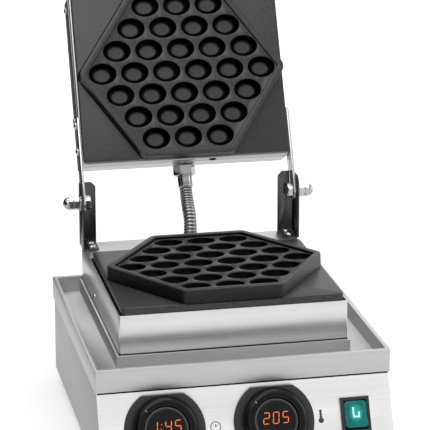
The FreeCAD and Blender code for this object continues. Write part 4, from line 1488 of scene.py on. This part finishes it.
@dataclass
class PowerSwitch:
    """The lighted rocker switch, in millimetres."""

    half_x: float = 10.6
    half_y: float = 12.65
    corner: float = 3.2
    corner_facets: int = 8
    fold: float = 2.55
    rise: float = 4.5
    depth: float = 2.2
    waist: float = 0.9
    tilt: float = 7.0
    edge: Profile = ((1.0, 1.5), (0.99, 0.8), (0.965, 0.35), (0.92, 0.08), (0.86, 0.0), (0.45, 0.0))
    glow_half: tuple[float, float, float] = (7.5, 9.5, 30.0)
    glow_lift: float = 0.8
    glow_share: float = 0.8
    glow_colour: Colour = (0.02, 0.36, 0.32)
    bar_half_thick: float = 0.05
    bar_width: float = 1.6
    bar_left: float = -3.2
    bar_top: float = 6.5
    bar_foot: float = -3.2
    bar_reach: float = 3.6
    bar_short: float = 2.2

    def place(self) -> Matrix:
        """Gives the rocker's frame on the panel at rest."""
        tilt = Matrix.Rotation(math.radians(-self.tilt), 4, "X")
        return panel_frame(Vector(joint("power_switch")["pos_m"])) @ tilt

    def surface(self, y: float) -> float:
        """Gives the height of the folded face."""
        return self.fold + (self.rise - self.fold) * abs(y) / self.half_y

    def outline(self) -> list[Point]:
        """Gives the lens's outline with round corners and a point at each end of the fold.

        Returns:
            Its points, anticlockwise.
        """
        points = rounded_box(self.half_x, self.half_y, self.corner, self.corner_facets)
        half = len(points) // 2
        return [(self.half_x, 0.0), *points[:half], (-self.half_x, 0.0), *points[half:]]

    def lens(self) -> BMesh:
        """Builds the crowned lens, folded across its middle.

        Returns:
            Its mesh, in the rocker's frame.
        """
        bm = bmesh.new()
        outline = self.outline()
        loops = [loop(bm, [(x, y * self.waist) for x, y in outline], -self.depth)]
        for share, drop in self.edge:
            loops.append(loop(bm, [(x * share, y * share) for x, y in outline], 0.0))
            for vert, (_, y) in zip(loops[-1], outline):
                vert.co.z = (self.surface(y * share) - drop) * MM
        loops.append(loop(bm, [(0.0, 0.0)], self.fold))
        loft(bm, loops, (True, False))
        return bm

    def stroke(self, x0: float, x1: float, y0: float, y1: float) -> BMesh:
        """Builds a thin bar that lies on the lens on one side of its fold.

        Args:
            x0: its left side.
            x1: its right side.
            y0: its lower end.
            y1: its upper end.

        Returns:
            The bar, in the rocker's frame.
        """
        bm = extruded(rectangle(x0, x1, y0, y1), -self.bar_half_thick, self.bar_half_thick)
        for vert in bm.verts:
            vert.co.z += self.surface(vert.co.y / MM) * MM
        return bm

    def light(self) -> None:
        """Lets the lens glow in its middle, where the lamp sits."""
        tree = Tree(LENS.build().node_tree)
        place = self.place()
        inputs = {
            "Vector": tree.add("ShaderNodeTexCoord").outputs["Object"],
            "Location": place @ Vector((0, self.glow_lift * MM, self.fold * MM)),
            "Rotation": place.to_euler(),
            "Scale": Vector(self.glow_half) * MM,
        }
        mapped = tree.add("ShaderNodeMapping", inputs, vector_type="TEXTURE").outputs[0]
        ball = tree.add("ShaderNodeTexGradient", {"Vector": mapped}, gradient_type="SPHERICAL")
        share = tree.ramp(ball.outputs["Fac"], 0.0, 0.5, 0.0, self.glow_share)
        shader = tree.tree.nodes["Principled BSDF"]
        for name in ("Base Color", "Emission Color"):
            plain = shader.inputs[name].links[0].from_socket
            tree.fill(shader, {name: tree.mix(share, plain, (*self.glow_colour, 1.0))})

    def build(self) -> None:
        """Builds the frame, the rocker with its lens and the lamp's bright strokes."""
        softened("switch_frame", "switch_surround", BLACK, Body.BASE, width=0.6, segments=3)
        lens = self.lens()
        lens.transform(self.place())
        add_piece("rocker_lens", [lens], LENS, Body.ROCKER, "switch_rocker", smooth=25.0)
        self.light()
        left, right, wide = self.bar_left, self.bar_left + self.bar_width, self.bar_width
        reach, foot = self.bar_reach, self.bar_foot
        sides = (
            (left, right, 0.0, self.bar_top), (left, right, foot, 0.0), (right, reach, foot, foot + wide),
            (reach - wide, reach, foot + wide, 0.0), (reach - wide, reach, 0.0, self.bar_short),
        )
        bm = joined(self.stroke(*side) for side in sides)
        bm.transform(self.place())
        add_piece("lamp_strokes", [bm], LAMP, Body.ROCKER)


@dataclass
class PanelMarks:
    """The printed clock and thermometer beside the controls, in millimetres."""

    print_height: float = 0.08
    turns: int = 32
    clock: Point = (47.7, -0.8)
    clock_radius: float = 5.1
    clock_line: float = 0.75
    hands: tuple[Profile, Profile] = (
        ((-0.3, -0.3), (0.3, -0.3), (0.3, 2.8), (-0.3, 2.8)), ((0, -0.3), (2.2, 1.5), (1.9, 1.9), (-0.3, 0.2)),
    )
    thermometer: Point = (44.9, 0.9)
    dot: float = 1.35
    dot_pitch: float = 2.5
    dots: int = 3
    bulb: float = 2.6
    bulb_drop: float = 3.6

    def disc(self, x: float, y: float, radius: float, hole: float = 0.0) -> BMesh:
        """Builds a flat round mark.

        Args:
            x: its middle across the panel.
            y: its middle up the panel.
            radius: its radius.
            hole: its hole's radius, or 0 for none.

        Returns:
            Its mesh, in the control's frame.
        """
        h = self.print_height
        profile = [(hole, 0.0), (radius, 0.0), (radius, h), (hole, h)] + ([(hole, 0.0)] if hole else [])
        return lathe(profile, self.turns, Matrix.Translation(Vector((x, y, 0)) * MM))

    def build(self, timer: Control, temperature: Control) -> None:
        """Prints both marks.

        Args:
            timer: the clock goes to its right.
            temperature: the thermometer goes to its right.
        """
        x, y = self.clock
        hands = [extruded(shifted(hand, x, y), 0.0, self.print_height) for hand in self.hands]
        face = joined([self.disc(x, y, self.clock_radius, self.clock_radius - self.clock_line), *hands])
        face.transform(timer.place())
        x, y = self.thermometer
        dots = [self.disc(x, y + self.dot_pitch * i, self.dot) for i in range(self.dots)]
        bulb = joined([*dots, self.disc(x, y - self.bulb_drop, self.bulb)])
        bulb.transform(temperature.place())
        add_piece("panel_prints", [face, bulb], INK, Body.BASE)


@dataclass
class HingeGear:
    """Posts, arms and the nuts and bolts of the hinge, in millimetres."""

    flats: float = 13.0
    head: float = 5.3
    rest_gap: float = 0.3
    overlap: float = 0.5
    bolt: float = 4.0
    bolt_turns: int = 32
    bore: float = 4.05
    turns: int = 48
    washer: float = 1.6
    washer_radius: float = 8.0
    washer_edge: float = 0.25
    nut: float = 6.5
    cap_base: float = 4.5
    dome: float = 5.2
    dome_radius: float = 6.0
    dome_foot: float = -0.3
    dome_wall: float = 0.7
    dome_steps: int = 7

    def on_side(self, side: int, x: float) -> Matrix:
        """Gives the frame on the hinge's axis at a distance from the middle, Z outwards."""
        place = Vector(joint("lid_hinge")["pos_m"])
        return aimed(Vector((side * x * MM, place.y, place.z)), X_AXIS * side)

    def acorn(self) -> list[Point]:
        """Gives the profile of the cap nut's dome.

        Returns:
            Radius and height pairs.
        """
        r, wall = self.dome_radius, self.dome_wall
        turns = [math.pi / 2 * i / self.dome_steps for i in range(1, self.dome_steps)]
        dome = [(r * math.cos(turn), wall + (self.dome - wall) * math.sin(turn)) for turn in turns]
        return [(0.0, self.dome_foot), (r, self.dome_foot), (r, wall), *dome, (0.0, self.dome)]

    def build(self) -> None:
        """Builds the hinge's pieces on both sides."""
        nut_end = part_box("hinge_nuts")[1].x / MM
        nut_start = nut_end - self.nut
        head_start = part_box("lid_arm_right")[0].x / MM - self.rest_gap - self.head
        start, end = self.head - self.overlap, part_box("hinge_bolts")[1].x / MM - head_start
        shaft = [(0.0, start), (self.bolt, start), (self.bolt, end), (0.0, end)]
        b, w, t, e = self.bore, self.washer_radius, self.washer, self.washer_edge
        washer = [(b, 0.0), (w - e, 0.0), (w, e), (w, t - e), (w - e, t), (b, t), (b, 0.0)]
        head = HexNut(self.flats, self.head, high_turned=False)
        nut, cap = HexNut(self.flats, self.nut, bore=b), HexNut(self.flats, self.cap_base)
        bolts, washers, nuts, caps = [], [], [], []
        for side in (-1, 1):
            base = self.on_side(side, head_start)
            bolts += [head.build(base), lathe(shaft, self.bolt_turns, base)]
            washers.append(lathe(washer, self.turns, self.on_side(side, nut_start - t)))
            nuts.append(nut.build(self.on_side(side, nut_start)))
            caps.append(cap.build(self.on_side(side, nut_end)))
            caps.append(lathe(self.acorn(), self.turns, self.on_side(side, nut_end + self.cap_base)))
        for name, shapes, finish, node in (
            ("hinge_bolt_heads", bolts, NUT, "hinge_bolts"),
            ("hinge_washer_rings", washers, NUT, "hinge_washers"),
            ("hinge_hex_nuts", nuts, NUT, "hinge_nuts"),
            ("hinge_domed_nuts", caps, BRIGHT, "hinge_cap_nuts"),
        ):
            add_piece(name, shapes, finish, Body.BASE, node, smooth=35.0)
        for side in ("left", "right"):
            softened("post_" + side, "hinge_post_" + side, POST, Body.BASE, width=0.35)
            softened("lid_arm_" + side, "lid_bar_" + side, BAR, Body.LID, width=0.4)


@dataclass
class Bodywork:
    """Tray, casing, housing and lid sheets with softened folds, feet and the lead's gland, in millimetres."""

    seam: float = 0.8
    seam_proud: float = 0.35
    hem_gap: tuple[float, float] = (0.2, 1.7)
    hem_inset: float = 0.6
    hem_proud: float = 0.1
    foot_radius: float = 11.9
    foot_turns: int = 48
    foot_recess: tuple[float, float] = (3.6, 4.0)
    foot_tread: Profile = ((-2.6, 0.0), (-1.9, 0.5), (-1.6, 1.4))
    foot_edge: float = 1.2
    inlet_turns: int = 48
    inlet_flats: float = 22.0
    inlet_nut: float = 5.0
    inlet_overlap: float = 0.5
    inlet_nose: float = 15.0
    inlet_nose_end: Profile = ((0.0, -4.0), (-0.8, -1.8), (-2.0, 0.0))
    inlet_radius: float = 7.9
    inlet_bore: float = 4.2
    inlet_grooves: tuple[float, ...] = (7.0, 8.6, 10.2, 11.8, 13.4)
    inlet_groove: Profile = ((0.0, 0.0), (-0.5, 0.2), (-0.5, 0.6), (0.0, 0.8))

    def feet(self) -> None:
        """Builds the four tapered feet, each with a recess for its screw."""
        low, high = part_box("feet")
        r, h = self.foot_radius, (high.z - low.z) / MM
        hole, depth = self.foot_recess
        profile = [(0.0, depth), (hole, depth), (hole, 0.0), *shifted(self.foot_tread, r, 0.0)]
        profile += [(r, h - self.foot_edge), (r, h), (0.0, h)]
        feet = []
        for x in (low.x + r * MM, high.x - r * MM):
            for y in (low.y + r * MM, high.y - r * MM):
                feet.append(lathe(profile, self.foot_turns, Matrix.Translation(Vector((x, y, low.z)))))
        add_piece("rubber_feet", feet, RUBBER, Body.BASE, "feet")

    def shadow_strips(self) -> None:
        """Builds dark strips that paint the shadow in the gaps: round the housing's foot, and above the panel's bend
        under the tray's hem.
        """
        low, high = (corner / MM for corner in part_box("plate_housing"))
        out, width = self.seam_proud, 2 * self.seam_proud
        left, right, front, back = low.x - out, high.x + out, low.y - out, high.y + out
        sides = (
            (left, right, front, front + width), (left, right, back - width, back),
            (left, left + width, front + width, back - width), (right - width, right, front + width, back - width),
        )
        bars = [extruded(rectangle(*side), low.z, low.z + self.seam) for side in sides]
        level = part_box("drip_tray")[0].z
        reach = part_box("front_panel")[1].x / MM - self.hem_inset
        face = min(v.co.y for v in frame["nodes"]["front_panel"].data.vertices if v.co.z > level) / MM
        top, bottom = (level / MM - gap for gap in self.hem_gap)
        bars.append(extruded(rectangle(-reach, reach, face - self.hem_inset, face + self.hem_proud), bottom, top))
        # Dark strips in the gaps: painted shadow.
        add_piece("dark_seals", bars, PLUG_AND_SHADOW_BLACK, Body.BASE)

    def inlet(self) -> None:
        """Builds the lead's gland in the back wall: a nut and a ribbed nose."""
        low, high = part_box("cable_inlet")
        place = aimed(Vector(((low.x + high.x) / 2, low.y, (low.z + high.z) / 2)), Y_AXIS)
        r, b, start = self.inlet_radius, self.inlet_bore, self.inlet_nut - self.inlet_overlap
        end = self.inlet_nut + self.inlet_nose
        profile = [(b, start), (r, start)]
        for level in self.inlet_grooves:
            profile += shifted(self.inlet_groove, r, level)
        profile += [*shifted(self.inlet_nose_end, r, end), (b, end), (b, start)]
        nut = HexNut(self.inlet_flats, self.inlet_nut, low_turned=False, bore=b).build(place)
        add_piece("lead_gland", [nut, lathe(profile, self.inlet_turns, place)], BLACK, Body.BASE, "cable_inlet")

    def build(self) -> None:
        """Builds the sheet pieces, the feet and the gland."""
        softened("drip_tray", "steel_tray", TRAY, Body.BASE, width=0.7)
        softened("casing_shell", "steel_casing", CASING, Body.BASE, width=0.4)
        softened("front_panel", "control_panel", PANEL, Body.BASE, width=0.4)
        softened("plate_housing", "steel_housing", HOUSING, Body.BASE, width=0.4)
        softened("lid_frame", "lid_strip", STRIP, Body.LID, width=0.3)
        softened("lid_cover", "lid_shell", COVER, Body.LID, width=0.5)
        self.shadow_strips()
        self.feet()
        self.inlet()


@dataclass
class Handle:
    """The lid's waisted handle, in millimetres."""

    waist: float = 11.4
    end: Profile = ((10.2, 0.0), (11.4, 1.0), (12.6, 4.0), (13.0, 8.0), (12.0, 26.0))
    bore: float = 3.2
    turns: int = 48

    def build(self) -> None:
        """Builds the grip, its rod and straps."""
        low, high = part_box("handle_grip")
        half = (high.x - low.x) / 2 / MM
        left = [(self.bore, -half), *shifted(self.end, 0.0, -half)]
        right = [(radius, -level) for radius, level in reversed(left)]
        profile = [*left, (self.waist, 0.0), *right, left[0]]
        grip = lathe(profile, self.turns, aimed((low + high) / 2, X_AXIS))
        add_piece("lid_grip", [grip], GRIP, Body.LID, "handle_grip", smooth=50.0)
        softened("handle_straps", "grip_straps", BAR, Body.LID, width=0.4)
        softened("handle_rod", "grip_rod", NUT, Body.LID, width=0.4)


@dataclass
class SmallScrews:
    """Places of the small screws, in millimetres from the pieces that carry them."""

    foot_rows: tuple[float, float] = (8.0, 19.5)
    foot_inset: float = 9.5
    foot_sheet: float = 1.5
    arm_rows: tuple[float, float] = (-80.0, -53.0)
    arm_level: float = 2.5
    cover_rows: tuple[float, float] = (-89.0, -206.0)
    cover_level: float = 24.0
    housing_offset: float = 30.0
    housing_level: float = 9.0

    def lid_rows(self, hinge: Hinge, node: str, rows: tuple[float, float], level: float) -> Places:
        """Sets screws out on both sides of the lid.

        Args:
            hinge: opens them.
            node: the node whose outer sides carry them.
            rows: how far behind the hinge they are.
            level: how far above it they are.

        Returns:
            Places and facings.
        """
        x = max(abs(v.co.x) for v in frame["nodes"][node].data.vertices)
        places = []
        for side in (-1, 1):
            for row in rows:
                place = hinge.closed(0, row, level)
                place.x = side * x
                places.append((hinge.opened() @ place, hinge.opened().to_3x3() @ (X_AXIS * side)))
        return places

    def build(self, hinge: Hinge) -> None:
        """Builds every set.

        Args:
            hinge: opens those on the lid.
        """
        low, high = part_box("post_right")
        x, z = high.x - self.foot_inset * MM, low.z + self.foot_sheet * MM
        feet = [(Vector((side * x, low.y + row * MM, z)), Z_AXIS) for side in (-1, 1) for row in self.foot_rows]
        ScrewSet("post_foot_screws", Body.BASE, head=4.2, height=3.0, places=feet).build()
        low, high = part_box("plate_housing")
        y, z = (low.y + high.y) / 2 + self.housing_offset * MM, low.z + self.housing_level * MM
        sides = [(Vector((side * high.x, y, z)), X_AXIS * side) for side in (-1, 1)]
        ScrewSet("housing_screws", Body.BASE, head=3.4, height=2.2, places=sides).build()
        arms = self.lid_rows(hinge, "lid_arm_right", self.arm_rows, self.arm_level)
        ScrewSet("arm_screws", Body.LID, head=3.8, height=2.2, places=arms).build()
        covers = self.lid_rows(hinge, "lid_cover", self.cover_rows, self.cover_level)
        ScrewSet("cover_screws", Body.LID, head=3.2, height=1.8, places=covers).build()


@dataclass
class Inside:
    """The pieces inside the casing and the lid, which keep their own shapes."""

    def build(self) -> None:
        """Dresses every inner node."""
        pairs = {"heat_pan": ZINC, "rod_clamp": ZINC, "heating_rods": TINTED, "sensor": TINTED, "insulation": WOOL}
        for node, finish in pairs.items():
            dress("lower_" + node, finish)
            dress("upper_" + node, finish)
        for node, finish in (
            ("bottom_plate", ZINC), ("control_boards", BOARD), ("terminal_block", PALE), ("thermal_cutout", BLACK),
        ):
            dress(node, finish)


@dataclass
class Studio:
    """Camera, lamps, floor and surroundings, in metres and degrees."""

    azimuth: float = -12.470
    elevation: float = 15.805
    roll: float = 0.134
    lens: float = 189.70
    sensor: float = 36.0
    clip: tuple[float, float] = (0.05, 60.0)
    shift: tuple[float, float] = (-0.05685, -0.10697)
    place: tuple[float, float, float] = (-0.42970, -2.10120, 0.85228)
    aim: tuple[float, float, float] = (0.0, -0.02, 0.2)
    room_light: float = 0.42
    floor_size: float = 30.0
    floor_colour: float = 0.8
    floor_roughness: float = 0.9
    floor_glow: tuple[float, float] = (0.42, 0.85)
    floor_fade: tuple[float, float] = (0.5, 1.6)
    card_colour: float = 0.02
    card_x: float = -0.8
    card_reach: tuple[float, float] = (-0.9, 0.5)
    card_top: float = 0.7
    card_end: float = -0.12

    def camera(self) -> None:
        """Sets the camera where the photograph was taken from."""
        a, e, r = (math.radians(angle) for angle in (self.azimuth, self.elevation, self.roll))
        back = Vector((math.sin(a) * math.cos(e), -math.cos(a) * math.cos(e), math.sin(e)))
        right = (-back).cross(Z_AXIS).normalized()
        up = right.cross(-back)
        level = right * math.cos(r) + up * math.sin(r)
        upright = -right * math.sin(r) + up * math.cos(r)
        data = bpy.data.cameras.new("studio_camera")
        data.lens, data.sensor_width = self.lens, self.sensor
        data.shift_x, data.shift_y = self.shift
        data.clip_start, data.clip_end = self.clip
        camera = placed("studio_camera", data)
        turn = Matrix((level, upright, back)).transposed().to_4x4()
        camera.matrix_world = Matrix.Translation(Vector(self.place)) @ turn
        bpy.context.scene.camera = camera

    def lamp(self, name: str, place: Sequence[float], size: Sequence[float], power: float) -> None:
        """Adds a soft lamp that points at the machine.

        Args:
            name: its name.
            place: where it hangs, in metres.
            size: its width and height, in metres.
            power: its power in watts.
        """
        data = bpy.data.lights.new(name, "AREA")
        data.shape = "RECTANGLE"
        data.size, data.size_y = size
        data.energy = power
        aim = Vector(self.aim) - Vector(place)
        turn = aim.to_track_quat("-Z", "Y").to_matrix().to_4x4()
        placed(name, data).matrix_world = Matrix.Translation(Vector(place)) @ turn

    def prop(self, name: str, bm: BMesh, inputs: dict[str, object]) -> tuple[Piece, Tree, Node]:
        """Adds a piece of the studio.

        Args:
            name: its name.
            bm: its mesh.
            inputs: values of its shader's inputs by name.

        Returns:
            Its object, its material's tree and its shader.
        """
        mesh = plain_mesh(name, bm)
        material, tree, shader = new_material(name)
        tree.fill(shader, inputs)
        mesh.materials.append(material)
        piece = placed(name, mesh)
        return piece, tree, shader

    def dark_card(self) -> None:
        """Stands a dark folded card to the left and behind, which only shows in reflections."""
        bm = bmesh.new()
        x, (y0, y1) = self.card_x, self.card_reach
        ways = ((x, y0), (x, y1), (self.card_end, y1))
        low, high = ([bm.verts.new((*way, level)) for way in ways] for level in (0.0, self.card_top))
        for i in range(len(ways) - 1):
            bm.faces.new([low[i], low[i + 1], high[i + 1], high[i]])
        shade = self.card_colour
        card = self.prop("dark_card", bm, {"Base Color": (shade, shade, shade, 1.0)})[0]
        card.visible_camera = card.visible_diffuse = card.visible_shadow = card.visible_transmission = False

    def seen_directly(self, tree: Tree) -> Socket:
        """Gives 1 for camera, glossy and transmission rays.

        Args:
            tree: the tree that needs it.

        Returns:
            The value.
        """
        path = tree.add("ShaderNodeLightPath").outputs
        either = tree.math(Blend.ADD, path["Is Camera Ray"], path["Is Transmission Ray"])
        return tree.math(Blend.MAXIMUM, either, path["Is Glossy Ray"])

    def floor(self) -> None:
        """Lays the pale floor, which keeps the machine's shadow."""
        bm = bmesh.new()
        half, shade = self.floor_size / 2, self.floor_colour
        bm.faces.new([bm.verts.new((x, y, 0)) for x, y in rectangle(-half, half, -half, half)])
        inputs = {
            "Base Color": (shade, shade, shade, 1.0), "Roughness": self.floor_roughness,
            "Specular IOR Level": 0.0, "Emission Color": WHITE,
        }
        _, tree, shader = self.prop("studio_floor", bm, inputs)
        place = tree.add("ShaderNodeTexCoord").outputs["Object"]
        far = tree.add("ShaderNodeVectorMath", {0: place}, operation="LENGTH").outputs["Value"]
        level = tree.ramp(far, *self.floor_fade, *self.floor_glow)
        tree.fill(shader, {"Emission Strength": tree.math(Blend.MULTIPLY, self.seen_directly(tree), level)})

    def surroundings(self) -> None:
        """Sets the plain studio room: white to the camera, softer to the lamps' light."""
        world = bpy.data.worlds.new("studio")
        world.use_nodes = True
        bpy.context.scene.world = world
        tree = Tree(world.node_tree)
        strength = tree.ramp(self.seen_directly(tree), 0.0, 1.0, self.room_light, 1.0)
        tree.fill(world.node_tree.nodes["Background"], {"Color": WHITE, "Strength": strength})

    def build(self) -> None:
        """Builds the studio."""
        bpy.context.scene.view_settings.view_transform = "Standard"
        self.camera()
        self.lamp("key_lamp", place=(-0.5, -1.2, 2.2), size=(1.6, 1.2), power=17.0)
        self.lamp("side_lamp", place=(1.9, -0.3, 0.9), size=(0.9, 1.4), power=7.0)
        self.lamp("top_lamp", place=(0.1, 0.6, 2.3), size=(1.6, 1.0), power=14.0)
        self.dark_card()
        self.floor()
        self.surroundings()


def build_groups() -> None:
    """Builds the shader groups that the finishes share."""
    brushed_grain(run=9.0, fineness=2600.0, detail=3.0, top_slope=0.75)
    cloud_group("handling_marks", size=14.0, detail=4.0, roughness=0.55, edge=0.35)
    cloud_group("fine_speckle", size=900.0, detail=2.0, roughness=0.5, edge=0.3)
    log.info("shader groups built")


def main() -> None:
    """Builds the whole machine and its studio."""
    logging.basicConfig(level=logging.INFO, format="%(name)s: %(message)s")
    build_groups()
    hinge = Hinge()
    Studio().build()
    Bodywork().build()
    EggPlates().build(hinge)
    HingeGear().build()
    Handle().build()
    timer = Control("timer", "timer_turn", Body.TIMER, "1:45")
    temperature = Control("temperature", "temperature_turn", Body.TEMPERATURE, "205")
    ControlPair(timer, temperature).build()
    PanelMarks().build(timer, temperature)
    PowerSwitch().build()
    SmallScrews().build(hinge)
    Conduit().build(hinge)
    Glands().build(hinge)
    Inside().build()


if __name__ == "__main__":
    main()
